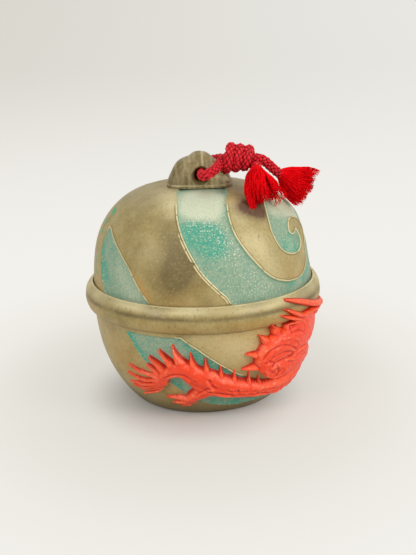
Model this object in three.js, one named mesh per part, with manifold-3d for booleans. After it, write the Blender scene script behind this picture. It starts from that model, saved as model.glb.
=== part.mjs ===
// A round clay bell: two pressed halves under a band, a pierced lug with a knotted red cord,
// a clay ball that rattles inside, and a dragon of clay sprigs laid on round its side.
// Millimetres, +Z up. The origin is the centre of the flat base, on the surface that it stands on,
// and the side that the photograph shows faces -Y.

import * as THREE from 'three';
import { mergeVertices } from 'three/addons/utils/BufferGeometryUtils.js';
import Module from 'manifold-3d';

const wasm = await Module();
wasm.setup();
const { Manifold, Mesh: SolidMesh } = wasm;

// Driving dimensions of the two halves and the band that covers their join.
const BODY_RADIUS = 34.6;
const SEAM_HEIGHT = 34;
const DOME_RISE = 34.7;
const DOME_POWER = 3.05;
const BASE_RADIUS = 21.5;
const BOWL_POWER = 2.25;
const WALL = 4.4;
const JOINT_GAP = 0.3;
const BAND_HEIGHT = 8.7;
const BAND_PROUD = 2.9;
const BAND_OFFSET = 0.4;
const BAND_BITE = 0.5;

// The sound slot through the base, with a wider round hole at each end.
const SLOT_LENGTH = 28;
const SLOT_WIDTH = 5.6;
const SLOT_END_RADIUS = 4;

// The loose ball.
const BALL_RADIUS = 6;
const BALL_CLEARANCE = 0.3;

// The pierced lug on the crown.
const LUG_HALF_WIDTH = 10.6;
const LUG_HALF_DEPTH = 7.4;
const LUG_RISE = 10.3;
const LUG_LEAN = 0.7;
const LUG_SQUARENESS = 2.5;
const BORE_CLEARANCE = 0.65;
const BORE_ABOVE_CROWN = 3.8;
const BORE_OFFSET = 0.5;

// The cord, its wraps and its tassels.
const CORD_DIAMETER = 3.2;
const WRAP_GAP = 0.52;
const WRAP_TURNS = 2.5;
const POINTS_PER_TURN = 12;
const TASSEL_LIFT = 0.8;

// Relief on the body.
const FIELD_DEPTH = 0.6;
const RIM_WIDTH = 0.9;
const RIM_RISE = 0.35;
const RIM_ROOT = 0.5;
const RIM_SHORT_OF_BAND = 1;
const SPRIG_GAP = 0.3;
const SPRIG_EDGE = 0.3;
const BAND_SPRIG_GAP = 0.45;

// How finely shapes are divided.
const ROUND_STEPS = 48;
const BAND_STEPS = 10;
const DOME_STEPS = 12;
const DOME_INNER_STEPS = 7;
const BOWL_STEPS = 16;
const BOWL_INNER_STEPS = 9;
const WHIRL_COLUMNS = 4;
const WEDGE_COLUMNS = 3;
const BOWL_COLUMNS = 5;
const BORE_SIDES = 24;
const LUG_CORNERS = 20;
const TASSEL_CORNERS = 16;
const CORD_SIDES = 8;
const CORD_STEPS = 96;

// Sizes that follow from the ones above.
const crown = SEAM_HEIGHT + DOME_RISE;
const bandMiddle = SEAM_HEIGHT + BAND_OFFSET;
const bandInner = BODY_RADIUS + JOINT_GAP;
const bowlDepth = SEAM_HEIGHT / (1 - (BASE_RADIUS / BODY_RADIUS) ** BOWL_POWER) ** (1 / BOWL_POWER);
const boreHeight = crown + BORE_ABOVE_CROWN;
const boreRadius = CORD_DIAMETER / 2 + BORE_CLEARANCE;
const wrapRadius = CORD_DIAMETER + WRAP_GAP;

// The sprigs' widths and rises are listed for a body with a radius of 34.6, and follow it.
const sprigScale = BODY_RADIUS / 34.6;

const radians = THREE.MathUtils.degToRad;
const degrees = THREE.MathUtils.radToDeg;

// Places on the bell are given as on a globe, in degrees: longitude round from the front and positive
// to the right, and latitude up from the seam, seen from the middle of the bell.
function superellipse(latitude, radius, height, power) {
  const across = Math.abs(Math.cos(radians(latitude)) / radius) ** power;
  const up = Math.abs(Math.sin(radians(latitude)) / height) ** power;
  return (across + up) ** (-1 / power);
}

function bodyRadius(latitude) {
  if (latitude >= 0) return superellipse(latitude, BODY_RADIUS, DOME_RISE, DOME_POWER);
  const bowl = superellipse(latitude, BODY_RADIUS, bowlDepth, BOWL_POWER);
  return Math.min(bowl, SEAM_HEIGHT / Math.abs(Math.sin(radians(latitude))));
}

// The band's section is half an ellipse. Along one latitude its outside is the far root of a quadratic.
function bandRadius(latitude) {
  const c = Math.cos(radians(latitude));
  const s = Math.sin(radians(latitude));
  const half = BAND_HEIGHT / 2;
  const a = (c / BAND_PROUD) ** 2 + (s / half) ** 2;
  const b = (c * BODY_RADIUS) / BAND_PROUD ** 2 + (s * BAND_OFFSET) / half ** 2;
  const k = (BODY_RADIUS / BAND_PROUD) ** 2 + (BAND_OFFSET / half) ** 2 - 1;
  const inside = b * b - a * k;
  return inside > 0 ? (b + Math.sqrt(inside)) / a : 0;
}

// What a sprig lies on: the body or the band, with the creases beside the band filled a little.
const CREASE_SPREAD = 0.9;
function seatRadius(latitude) {
  const near = [-CREASE_SPREAD, 0, CREASE_SPREAD].map((shift) => bandRadius(latitude + shift));
  return Math.max(bodyRadius(latitude), ...near);
}

function onBell(longitude, latitude, lift = 0, surface = bodyRadius) {
  const reach = surface(latitude) + lift;
  const flat = reach * Math.cos(radians(latitude));
  return [
    flat * Math.sin(radians(longitude)),
    -flat * Math.cos(radians(longitude)),
    SEAM_HEIGHT + reach * Math.sin(radians(latitude)),
  ];
}

// Solids from three.js geometry, and back.
function solidOf(geometry) {
  const bare = geometry.index ? geometry.toNonIndexed() : geometry.clone();
  bare.deleteAttribute('normal');
  bare.deleteAttribute('uv');
  const merged = mergeVertices(bare, 1e-4);
  const corners = merged.index.array;
  const kept = [];
  for (let i = 0; i < corners.length; i += 3) {
    const [a, b, c] = [corners[i], corners[i + 1], corners[i + 2]];
    if (a !== b && b !== c && c !== a) kept.push(a, b, c);
  }
  return new Manifold(new SolidMesh({
    numProp: 3,
    vertProperties: new Float32Array(merged.attributes.position.array),
    triVerts: new Uint32Array(kept),
  }));
}

function geometryOf(solid) {
  const { vertProperties, triVerts } = solid.getMesh();
  const geometry = new THREE.BufferGeometry();
  geometry.setAttribute('position', new THREE.BufferAttribute(vertProperties, 3));
  geometry.setIndex(new THREE.BufferAttribute(triVerts, 1));
  geometry.computeVertexNormals();
  return geometry;
}

function joined(solids) {
  return solids.reduce((whole, next) => whole.add(next));
}

// Cutting can leave loose crumbs. Only the largest body is kept.
function mainBody(solid) {
  return solid.decompose().sort((a, b) => b.volume() - a.volume())[0];
}

// A closed skin over rings of points, each ring with as many points as the next. Each end is closed by
// strips between the two halves of its ring, which suits thin rings as well as round ones.
function skinned(rings) {
  const count = rings[0].length;
  const positions = rings.flat(2);
  const index = [];
  const quad = (a, b, c, d) => index.push(a, b, c, a, c, d);
  for (let i = 0; i + 1 < rings.length; i += 1) {
    for (let j = 0; j < count; j += 1) {
      const next = (j + 1) % count;
      quad(i * count + j, i * count + next, (i + 1) * count + next, (i + 1) * count + j);
    }
  }
  const last = (rings.length - 1) * count;
  for (let j = 0; j < count / 2 - 1; j += 1) {
    const back = count - 1 - j;
    quad(j, back, back - 1, j + 1);
    quad(last + j, last + j + 1, last + back - 1, last + back);
  }
  const geometry = new THREE.BufferGeometry();
  geometry.setAttribute('position', new THREE.Float32BufferAttribute(positions, 3));
  geometry.setIndex(index);
  const solid = solidOf(geometry);
  if (solid.volume() > 0) return solid;
  for (let i = 0; i < index.length; i += 3) [index[i], index[i + 1]] = [index[i + 1], index[i]];
  geometry.setIndex(index);
  return solidOf(geometry);
}

// Rows of numbers, smoothed by a Catmull-Rom curve with some steps to each span.
function smoothed(rows, steps) {
  const out = [];
  const at = (i) => rows[Math.min(Math.max(i, 0), rows.length - 1)];
  for (let i = 0; i + 1 < rows.length; i += 1) {
    for (let k = 0; k < steps; k += 1) {
      const t = k / steps;
      out.push(at(i).map((value, j) => {
        const [before, after, beyond] = [at(i - 1)[j], at(i + 1)[j], at(i + 2)[j]];
        const slope = after - before;
        const bend = 2 * before - 5 * value + 4 * after - beyond;
        const twist = 3 * value - before - 3 * after + beyond;
        return value + (t * (slope + t * (bend + t * twist))) / 2;
      }));
    }
  }
  out.push(rows[rows.length - 1]);
  return out;
}

// A raised strip of modelled clay that follows the bell. Each station is
// [longitude, latitude, half width, rise], the last two in millimetres.
function ridge(stations, { steps = 3, across = 4, gap = SPRIG_GAP, edge = SPRIG_EDGE } = {}) {
  const path = smoothed(stations, steps);
  const rings = path.map(([longitude, latitude, width, height], i) => {
    const half = width * sprigScale;
    const rise = height * sprigScale;
    const before = path[Math.max(i - 1, 0)];
    const after = path[Math.min(i + 1, path.length - 1)];
    const reach = seatRadius(latitude);
    const flat = reach * Math.cos(radians(latitude));
    const east = radians(after[0] - before[0]) * flat;
    const north = radians(after[1] - before[1]) * reach;
    const length = Math.hypot(east, north);
    const top = [];
    const bottom = [];
    for (let j = 0; j <= across; j += 1) {
      const side = (2 * j) / across - 1;
      const lon = longitude - degrees((side * half * north) / length / flat);
      const lat = latitude + degrees((side * half * east) / length / reach);
      const lift = gap + edge + Math.max(rise - edge, 0.05) * Math.sqrt(Math.max(1 - side * side, 0));
      top.push(onBell(lon, lat, lift, seatRadius));
      bottom.unshift(onBell(lon, lat, gap, seatRadius));
    }
    return [...top, ...bottom];
  });
  return skinned(rings);
}

// A pointed spine or claw, from its root to its tip. Halfway it has two thirds of its width and most of
// its height.
const MIDDLE_WIDTH = 0.66;
const MIDDLE_RISE = 0.8;
function spine([rootLon, rootLat], [tipLon, tipLat], half, rise) {
  const middle = [(rootLon + tipLon) / 2, (rootLat + tipLat) / 2];
  return ridge([
    [rootLon, rootLat, half, rise],
    [...middle, half * MIDDLE_WIDTH, rise * MIDDLE_RISE],
    [tipLon, tipLat, SPRIG_EDGE, SPRIG_EDGE],
  ], { steps: 1, across: 2 });
}

// A field sunk into the body between two edges. Each row is
// [longitude, latitude] of one edge, then of the other.
function sunkField(rows, columns, turn = 0) {
  const above = 1;
  const rings = rows.map(([lonA, latA, lonB, latB]) => {
    const floor = [];
    const cover = [];
    for (let j = 0; j <= columns; j += 1) {
      const t = j / columns;
      const lon = lonA + (lonB - lonA) * t + turn;
      const lat = latA + (latB - latA) * t;
      floor.push(onBell(lon, lat, -FIELD_DEPTH));
      cover.unshift(onBell(lon, lat, above));
    }
    return [...floor, ...cover];
  });
  return skinned(rings);
}

// The latitudes of the band's two creases.
const creaseAbove = degrees(Math.atan((BAND_OFFSET + BAND_HEIGHT / 2) / BODY_RADIUS));
const creaseBelow = degrees(Math.atan((BAND_OFFSET - BAND_HEIGHT / 2) / BODY_RADIUS));

// A raised line along an edge of a field. It stops just short of the band.
function rim(edge, turn = 0) {
  const stations = edge.map(([lon, lat]) => {
    const clear = lat > 0
      ? Math.max(lat, creaseAbove + RIM_SHORT_OF_BAND)
      : Math.min(lat, creaseBelow - RIM_SHORT_OF_BAND);
    return [lon + turn, clear, RIM_WIDTH / 2, RIM_RISE + RIM_ROOT];
  });
  return ridge(stations, { steps: 1, across: 2, gap: -RIM_ROOT, edge: RIM_ROOT });
}

// The wave and whirl of the upper half. The large field starts at the lug between its left ridge and the
// gold wave, runs under the wave along the band, and winds up and round into the middle of the whirl.
const WHIRL_FIELD = [
  [-39, 74, 49, 74],
  [-21, 58, 23.5, 59.5],
  [-15.9, 49.5, 18.7, 48.9],
  [-10.6, 40, 19.3, 40.5],
  [-4.5, 30.1, 23.5, 32.3],
  [0, 23.8, 27.8, 26.9],
  [6, 17.6, 33.8, 20.6],
  [11.5, 12.4, 39, 17],
  [17.5, 6.8, 44.6, 14.8],
  [38, 6.8, 51, 13.1],
  [58, 6.8, 59, 12.4],
  [78, 7, 68.5, 13.7],
  [92, 11, 77, 18.8],
  [100, 20, 81.3, 25.2],
  [101, 32, 84.4, 31.5],
  [93, 44, 83.6, 36.2],
  [78, 51.5, 75.6, 40],
  [61, 54, 67.4, 41],
  [50.5, 48.5, 61.8, 39.1],
  [45.2, 40.5, 59.2, 37],
  [45.2, 34.5, 58.7, 35.3],
  [48.2, 29.2, 60, 34],
  [54.5, 26.2, 61.6, 33.5],
  [62, 25.8, 63.3, 33.7],
  [67.6, 29, 65.2, 34.2],
  [67.6, 34.6, 66.9, 35],
];
// Runs of its rows that carry a raised line: on the first edge or not, from a row, to before a row.
const WHIRL_RIMS = [
  [true, 0, 9],
  [false, 0, 24],
  [true, 17, 26],
];
const WEDGE_FIELD = [
  [-67.4, 38.4, -65.8, 38.2],
  [-69, 34.8, -58.7, 34.8],
  [-69.1, 29, -49, 29.2],
  [-67.8, 22.5, -40.6, 22.7],
  [-65.7, 15, -34.4, 14.9],
  [-61, 6.8, -27.3, 6.9],
];
// The field of the lower half sweeps down from the band, under the dragon, towards the base.
const BOWL_FIELD = [
  [-46, -6.2, -13.6, -6.2],
  [-41.2, -11.9, -8.8, -11.6],
  [-37, -18.5, -0.8, -16.9],
  [-31, -25.3, 7.8, -23.6],
  [-23, -31.6, 16, -28.8],
  [-15, -38, 25, -33.2],
  [-6, -44.2, 38, -37.3],
  [5, -48, 54, -41],
  [20, -50.8, 72, -45],
  [42, -52.2, 88, -49.5],
  [64, -53.4, 96, -53],
];
const BACK_TURN = 180;

// The line beside the lower field ends where the dragon's spines begin.
const BOWL_RIM = [
  [-13.6, -6.2],
  [-8.8, -11.6],
  [-3.4, -15.4],
  [2.4, -18.2],
];

function edgeOf(field, first, from = 0, to = field.length) {
  return field.slice(from, to).map((row) => (first ? row.slice(0, 2) : row.slice(2)));
}

// A half-section of the body from the seam to the pole, as (radius, height) points.
function meridian(radius, rise, power, depthAt, steps) {
  const points = [];
  for (let i = 0; i <= steps; i += 1) {
    const t = (Math.PI / 2) * (i / steps);
    const x = radius * Math.cos(t) ** (2 / power);
    const y = rise * Math.sin(t) ** (2 / power);
    points.push([i === steps ? 0 : x, depthAt(y)]);
  }
  return points;
}

function turned(profile, steps = ROUND_STEPS) {
  const points = profile.map(([x, y]) => new THREE.Vector2(x, y));
  const lathe = new THREE.LatheGeometry([...points, points[0]], steps);
  lathe.rotateX(Math.PI / 2);
  const solid = solidOf(lathe);
  if (solid.volume() > 0) return solid;
  const index = lathe.index.array;
  for (let i = 0; i < index.length; i += 3) [index[i], index[i + 1]] = [index[i + 1], index[i]];
  return solidOf(lathe);
}

// The dome grown by a gap, which trims what rests on the crown.
function domeSkin(gap) {
  const side = meridian(BODY_RADIUS + gap, DOME_RISE + gap, DOME_POWER, (y) => SEAM_HEIGHT + y, DOME_STEPS);
  return turned([...side, [0, SEAM_HEIGHT]]);
}

function makeUpperShell() {
  const joint = SEAM_HEIGHT + JOINT_GAP / 2;
  const raise = (y) => Math.max(SEAM_HEIGHT + y, joint);
  const outside = meridian(BODY_RADIUS, DOME_RISE, DOME_POWER, raise, DOME_STEPS);
  const inside = meridian(BODY_RADIUS - WALL, DOME_RISE - WALL, DOME_POWER, raise, DOME_INNER_STEPS);
  let shell = turned([...outside, ...inside.reverse()]);
  for (const turn of [0, BACK_TURN]) {
    shell = shell.subtract(sunkField(WHIRL_FIELD, WHIRL_COLUMNS, turn));
    shell = shell.subtract(sunkField(WEDGE_FIELD, WEDGE_COLUMNS, turn));
    for (const run of WHIRL_RIMS) shell = shell.add(rim(edgeOf(WHIRL_FIELD, ...run), turn));
    shell = shell.add(rim(edgeOf(WEDGE_FIELD, false), turn));
  }
  return mainBody(shell);
}

function slotCutter() {
  const half = SLOT_LENGTH / 2;
  const outline = new THREE.Shape();
  const neck = Math.sqrt(SLOT_END_RADIUS ** 2 - (SLOT_WIDTH / 2) ** 2);
  const open = Math.asin(SLOT_WIDTH / 2 / SLOT_END_RADIUS);
  outline.moveTo(-half + neck, -SLOT_WIDTH / 2);
  outline.lineTo(half - neck, -SLOT_WIDTH / 2);
  outline.absarc(half, 0, SLOT_END_RADIUS, Math.PI + open, Math.PI - open, false);
  outline.lineTo(-half + neck, SLOT_WIDTH / 2);
  outline.absarc(-half, 0, SLOT_END_RADIUS, open, -open, false);
  const cutter = new THREE.ExtrudeGeometry(outline, {
    depth: SEAM_HEIGHT, bevelEnabled: false, curveSegments: 10,
  });
  cutter.translate(0, 0, -SEAM_HEIGHT / 2);
  return solidOf(cutter);
}

function makeLowerShell() {
  const joint = SEAM_HEIGHT - JOINT_GAP / 2;
  const lowest = 1;
  const outside = meridian(BODY_RADIUS, bowlDepth, BOWL_POWER, (y) => SEAM_HEIGHT - y, BOWL_STEPS)
    .filter(([, z]) => z > lowest)
    .map(([x, z]) => [x, Math.min(z, joint)]);
  const innerDepth = SEAM_HEIGHT - WALL;
  const inside = meridian(BODY_RADIUS - WALL, innerDepth, BOWL_POWER, (y) => SEAM_HEIGHT - y, BOWL_INNER_STEPS)
    .map(([x, z]) => [x, Math.min(z, joint)]);
  let shell = turned([...outside, [BASE_RADIUS, 0], [0, 0], ...inside.reverse()]);
  shell = shell.subtract(slotCutter());
  shell = shell.subtract(sunkField(BOWL_FIELD, BOWL_COLUMNS));
  return mainBody(shell.add(rim(BOWL_RIM)));
}

function makeBand() {
  const arc = [];
  for (let i = 0; i <= BAND_STEPS; i += 1) {
    const t = Math.PI * (i / BAND_STEPS - 0.5);
    arc.push([BODY_RADIUS + BAND_PROUD * Math.cos(t), bandMiddle + (BAND_HEIGHT / 2) * Math.sin(t)]);
  }
  const outer = arc.map(([x, z]) => [Math.max(x, bandInner + BAND_BITE), z]);
  return turned([[bandInner, bandMiddle - BAND_HEIGHT / 2], ...outer, [bandInner, bandMiddle + BAND_HEIGHT / 2]]);
}

// The lug is a stack of rounded sections: a wide foot on the crown, a low shoulder on its left and a
// rounded top. Each row is [share of the height, left, right, depth], the last three as shares of the
// foot's half sizes.
const LUG_SECTIONS = [
  [-0.16, 1.02, 1.02, 1.06],
  [0.03, 1, 1, 1],
  [0.1, 0.95, 0.95, 0.9],
  [0.32, 0.87, 0.88, 0.82],
  [0.58, 0.75, 0.7, 0.68],
  [0.74, 0.61, 0.56, 0.58],
  [0.81, 0.46, 0.48, 0.53],
  [0.89, 0.31, 0.37, 0.44],
  [0.96, 0.19, 0.25, 0.3],
  [1, 0.06, 0.08, 0.1],
];

function makeLug() {
  const rings = LUG_SECTIONS.map(([share, left, right, depth]) => {
    const ring = [];
    for (let j = 0; j < LUG_CORNERS; j += 1) {
      const angle = (2 * Math.PI * (j + 0.5)) / LUG_CORNERS;
      const [c, s] = [Math.cos(angle), Math.sin(angle)];
      const wide = LUG_HALF_WIDTH * (c < 0 ? left : right);
      const x = Math.sign(c) * Math.abs(c) ** (2 / LUG_SQUARENESS) * wide;
      const y = Math.sign(s) * Math.abs(s) ** (2 / LUG_SQUARENESS) * LUG_HALF_DEPTH * depth;
      ring.push([x, y - LUG_LEAN * share, crown + LUG_RISE * share]);
    }
    return ring;
  });
  const bore = new THREE.CylinderGeometry(boreRadius, boreRadius, 6 * LUG_HALF_DEPTH, BORE_SIDES);
  bore.translate(BORE_OFFSET, 0, 0);
  const cutter = solidOf(bore).translate([0, 0, boreHeight]);
  return skinned(rings).subtract(domeSkin(JOINT_GAP)).subtract(cutter);
}

function makeBall() {
  const ball = new THREE.SphereGeometry(BALL_RADIUS, 20, 14);
  ball.rotateX(Math.PI / 2);
  return solidOf(ball).translate([0, 0, WALL + BALL_CLEARANCE + BALL_RADIUS]);
}

// The dragon: sprigs of clay, each [longitude, latitude, half width, rise] along its length.
const DRAGON_BODY = [
  [-24.6, -30.6, 2.1, 1.4],
  [-19, -26, 3, 2],
  [-14.8, -25.1, 3.1, 2.2],
  [-9.8, -27, 3.4, 2.4],
  [-4.9, -30, 4.6, 2.7],
  [-0.4, -33.2, 5.6, 3],
  [6.1, -34.5, 5, 3],
  [13.4, -37, 4.6, 2.9],
  [25.2, -40, 4.2, 2.9],
  [36, -41.8, 4, 2.9],
  [48, -42.8, 3.8, 2.5],
  [60, -42.8, 3.7, 2.1],
  [70, -41.6, 3.7, 1.7],
  [77.4, -38.4, 3.8, 1.5],
  [79, -34.4, 3.8, 1.5],
  [74.4, -30.4, 3.8, 1.8],
];
const BODY_SPINES = [
  [[-23.5, -29.5], [-31.1, -23.9], 1.2, 1.4],
  [[-21.5, -26.5], [-28.9, -19.4], 1.2, 1.5],
  [[-17.5, -23.5], [-22.8, -15.1], 1.6, 1.7],
  [[-12, -23], [-15.9, -12.4], 2, 1.8],
  [[-6, -24], [-6.8, -16.7], 1.5, 1.6],
  [[1.5, -27], [0.6, -19.2], 1.5, 1.6],
  [[8.4, -30], [7.8, -23.5], 1.4, 1.6],
  [[15, -33], [14.9, -26.1], 1.4, 1.5],
  [[23.4, -35.5], [23.5, -28.6], 1.2, 1.5],
  [[30, -38], [30.1, -31.6], 1.2, 1.5],
];
const HIND_LEG = [
  [3, -38, 3, 2.4],
  [-3, -42, 2.4, 2.3],
  [-8.5, -43.6, 1.9, 2.1],
  [-12.5, -45, 1.6, 1.7],
];
const HIND_CLAWS = [
  [[-7, -42.6], [-24.2, -42.5], 1.2, 1.5],
  [[-10, -44.6], [-21.8, -46.7], 1.2, 1.4],
  [[-10, -45.4], [-16.6, -49.6], 1.2, 1.4],
];
const TAIL_TUFT = [
  [[-29, -34.2], [-44.2, -25.6], 1.3, 1.4],
  [[-29, -34.4], [-47.7, -30.7], 1.4, 1.5],
  [[-29, -35], [-48.4, -36.5], 1.4, 1.5],
  [[-29, -35.6], [-44.7, -39.9], 1.3, 1.4],
  [[-28.6, -36], [-40.1, -42.7], 1.3, 1.3],
];
const DRAGON_NECK = [
  [69, -28.2, 3.8, 2],
  [61, -27, 3.9, 2.6],
  [52, -27, 4.1, 3.2],
  [43, -27.4, 4, 3.3],
  [36.6, -25.6, 3.9, 3.4],
  [34.4, -21.8, 3.8, 3.4],
  [36.8, -17.8, 3.7, 3.3],
  [43, -15.8, 3.4, 3.2],
  [52, -15.8, 3, 3],
  [62, -16.6, 2.9, 2.5],
  [74, -17, 3.1, 1.6],
  [88, -15.8, 3.5, 1.5],
  [100, -12.8, 3.9, 2.4],
  [107, -10.4, 3.9, 3],
];
const NECK_SPINES = [
  [[34.5, -26.5], [19.1, -25.3], 1.8, 2],
  [[34, -18.8], [20.8, -17.7], 1.7, 2],
  [[37.5, -16], [27.3, -9.1], 1.9, 2],
  [[44.5, -13.4], [35.5, -6.6], 1.8, 1.9],
  [[92, -16], [87, -25], 1.6, 1.8],
  [[101, -13.5], [98, -22.5], 1.6, 1.8],
];
const FORELEG = [
  [86, -6.4, 1.3, 1],
  [80, -5.8, 1.9, 1.5],
  [73, -5.4, 2.5, 2],
  [66, -4.8, 2.6, 2.3],
  [59, -4, 2.4, 2.3],
  [54.5, -3.2, 1.9, 2],
];
const FORE_CLAWS = [
  [
    [70, -3.4, 1.5, 1.8],
    [59, 0.2, 1.5, 1.7],
    [50, 3.8, 1.1, 1.4],
    [41.4, 6.2, 0.3, 0.4],
  ],
  [
    [58, -3, 1.4, 1.8],
    [51, -2, 1.5, 1.8],
    [45, 0, 1.1, 1.4],
    [39.8, 1.8, 0.3, 0.4],
  ],
  [
    [57, -4.6, 1.4, 1.7],
    [50, -4.4, 1.3, 1.6],
    [44, -3, 0.9, 1.3],
    [38, -1.4, 0.3, 0.4],
  ],
];
const DRAGON_HEAD = [
  [
    [113.2, -7, 4.2, 3.4],
    [119, -3.6, 5.2, 4.2],
    [126, -1, 4.4, 4.2],
    [130, 0, 3, 3.4],
  ],
  [
    [124, 1.6, 3.2, 4.4],
    [131, 3.2, 2.9, 3.8],
    [137, 3.6, 2.6, 3.2],
    [141, 4.6, 1.7, 2.6],
  ],
  [
    [120, -9.6, 2.8, 3],
    [128, -10.4, 2.2, 2.6],
    [135, -8.4, 1.7, 2.2],
    [138.5, -6.4, 1.1, 1.6],
  ],
  [
    [117, 3.6, 1.2, 4.2],
    [122, 6, 1.4, 4.8],
    [127, 6, 1, 4.2],
  ],
];
const HEAD_LOCKS = [
  [[119, -10], [112.5, -21], 1.6, 2.2],
  [[123, -11], [118.5, -22], 1.5, 2.1],
  [[128, -11], [125.5, -20.5], 1.3, 1.9],
  [[116, 0], [107, 2.4], 1.4, 2],
];
const HORNS = [
  [
    [117.5, 9.6, 1.5, 2.4],
    [113, 13.6, 1.3, 2.2],
    [109, 18.6, 0.9, 1.6],
    [106.6, 24, 0.3, 0.6],
  ],
  [
    [124.5, 10, 1.5, 2.4],
    [121.5, 14.8, 1.3, 2.2],
    [119, 20, 0.9, 1.6],
    [118, 25.6, 0.3, 0.6],
  ],
];
const WHISKERS = [
  [
    [144.5, 3.6, 0.8, 1.4],
    [149, 0.4, 0.7, 1.2],
    [153.5, 2.6, 0.6, 1],
    [158, -0.6, 0.3, 0.6],
  ],
  [
    [142.5, -3, 0.8, 1.4],
    [147, -6.6, 0.7, 1.2],
    [151, -5, 0.6, 1],
    [155, -9, 0.3, 0.6],
  ],
];

function spines(list) {
  return list.map(([root, tip, half, rise]) => spine(root, tip, half, rise));
}

function makeDragonBody() {
  const trunk = ridge(DRAGON_BODY, { steps: 2, across: 5 });
  return joined([trunk, ridge(HIND_LEG), ...spines(BODY_SPINES), ...spines(HIND_CLAWS)]);
}

function makeTailTuft() {
  const root = ridge([[-26.8, -35, 1.5, 1.3], [-29.4, -35, 1.9, 1.6], [-33, -34.8, 1.7, 1.4]]);
  return joined([root, ...spines(TAIL_TUFT)]);
}

function makeDragonNeck() {
  return joined([ridge(DRAGON_NECK, { steps: 2, across: 5 }), ...spines(NECK_SPINES)]);
}

function makeForeleg() {
  const claws = FORE_CLAWS.map((stations) => ridge(stations, { across: 2, gap: BAND_SPRIG_GAP }));
  return joined([ridge(FORELEG, { across: 6, gap: BAND_SPRIG_GAP }), ...claws]);
}

function makeHead() {
  const strips = DRAGON_HEAD.map((strip) => ridge(strip, { gap: BAND_SPRIG_GAP }));
  return joined([...strips, ...spines(HEAD_LOCKS)]);
}

// The cord is one piece. Its first end comes up from the far tassel, runs through the middle of the knot
// and in front of the lug, goes through the bore and back behind the lug, winds round the first strand
// and comes down in front to the near tassel.
const KNOT_START = new THREE.Vector3(8.5, -3.6, 76.9);
const KNOT_TILT = 1;
const KNOT_CORE = [8, 5.5, 3, 0.6];
const CORD_FAR_END = [
  [25.3, -1.5, 71],
  [24, -1.75, 72.15],
  [22.7, -2, 73.3],
  [20.9, -2.6, 75.1],
  [18.9, -3.2, 76.6],
];
const CORD_FRONT = [
  [7.4, -4.5, 76.3],
  [6.3, -6.3, 75.6],
  [5.1, -8, 74.8],
  [3.7, -9.6, 74.2],
  [2.2, -10.5, 73.5],
  [1, -10, 72.9],
  [BORE_OFFSET, -8, boreHeight],
];
const CORD_BACK = [
  [BORE_OFFSET, 6.4, boreHeight],
  [0.9, 8.6, 72.9],
  [2.3, 9.8, 73.4],
  [4.5, 9.4, 74],
  [6.7, 7.9, 74.7],
  [7.9, 5.7, 74.9],
  [8.4, 2.9, 75.6],
];
const CORD_NEAR_END = [
  [18.1, -7.8, 75.2],
  [17.9, -8.5, 73.9],
  [17.7, -9.3, 72.6],
];

const knotAlong = new THREE.Vector3(Math.cos(radians(KNOT_TILT)), 0, Math.sin(radians(KNOT_TILT)));
const knotUp = new THREE.Vector3(-knotAlong.z, 0, knotAlong.x);

function knotPoint(along, angle, radius) {
  const point = KNOT_START.clone().addScaledVector(knotAlong, along);
  point.addScaledVector(knotUp, radius * Math.cos(angle));
  point.y -= radius * Math.sin(angle);
  return point;
}

// The wraps start behind the knot, three quarters of a turn past its top, and rise over it.
function wrapPoints() {
  const count = Math.round(WRAP_TURNS * POINTS_PER_TURN);
  const points = [];
  for (let i = 1; i <= count; i += 1) {
    const turn = i / POINTS_PER_TURN;
    points.push(knotPoint(wrapRadius * turn, 2 * Math.PI * (turn + 0.75), wrapRadius));
  }
  return points;
}

function cordRoute() {
  const vectors = (list) => list.map((point) => new THREE.Vector3(...point));
  const core = KNOT_CORE.map((along) => knotPoint(along, 0, 0));
  return [
    ...vectors(CORD_FAR_END), ...core, ...vectors(CORD_FRONT),
    ...vectors(CORD_BACK), ...wrapPoints(), ...vectors(CORD_NEAR_END),
  ];
}

const cordCurve = new THREE.CatmullRomCurve3(cordRoute(), false, 'centripetal');

function makeCord() {
  const section = new THREE.Shape();
  for (let j = 0; j < CORD_SIDES; j += 1) {
    const angle = (2 * Math.PI * j) / CORD_SIDES;
    const [x, y] = [(CORD_DIAMETER / 2) * Math.cos(angle), (CORD_DIAMETER / 2) * Math.sin(angle)];
    if (j === 0) section.moveTo(x, y);
    else section.lineTo(x, y);
  }
  section.closePath();
  return solidOf(new THREE.ExtrudeGeometry(section, {
    steps: CORD_STEPS, extrudePath: cordCurve, bevelEnabled: false,
  }));
}

// The least gap of the cord to itself, between points further apart along it than its own turns.
function cordGap() {
  const count = 600;
  const ownBend = 2.2 * CORD_DIAMETER;
  const points = cordCurve.getSpacedPoints(count);
  const step = cordCurve.getLength() / count;
  const apart = Math.ceil(ownBend / step);
  let least = Infinity;
  for (let i = 0; i < points.length; i += 1) {
    for (let j = i + apart; j < points.length; j += 1) {
      least = Math.min(least, points[i].distanceTo(points[j]));
    }
  }
  return least - CORD_DIAMETER;
}

// A tassel is the cord's end combed out: a flat fan that starts at the cord and opens along its fall.
// Each station is [x, y, z, half width, half thickness].
const NEAR_TASSEL = {
  side: [0.72, 0.66, -0.2],
  stations: [
    [17.63, -9.6, 72.1, 1.4, 1.4],
    [17.5, -10.1, 71.3, 3, 2.1],
    [17.7, -11, 70, 4.4, 2.5],
    [18.3, -12.1, 68.4, 5.6, 2.4],
    [19.4, -13.3, 66.6, 6.3, 2.1],
    [19.8, -13.9, 65.5, 6, 1.4],
  ],
};
const FAR_TASSEL = {
  side: [0.5, 0, 0.866],
  stations: [
    [25.65, -1.43, 70.7, 1.4, 1.4],
    [26.7, -1.2, 69.9, 2.9, 2.3],
    [28.3, -1, 68.9, 4.4, 3],
    [30.7, -1, 67.6, 5.7, 3.2],
    [33.2, -1, 66.3, 6.4, 2.9],
    [34.4, -1, 65.7, 6, 2],
  ],
};

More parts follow.
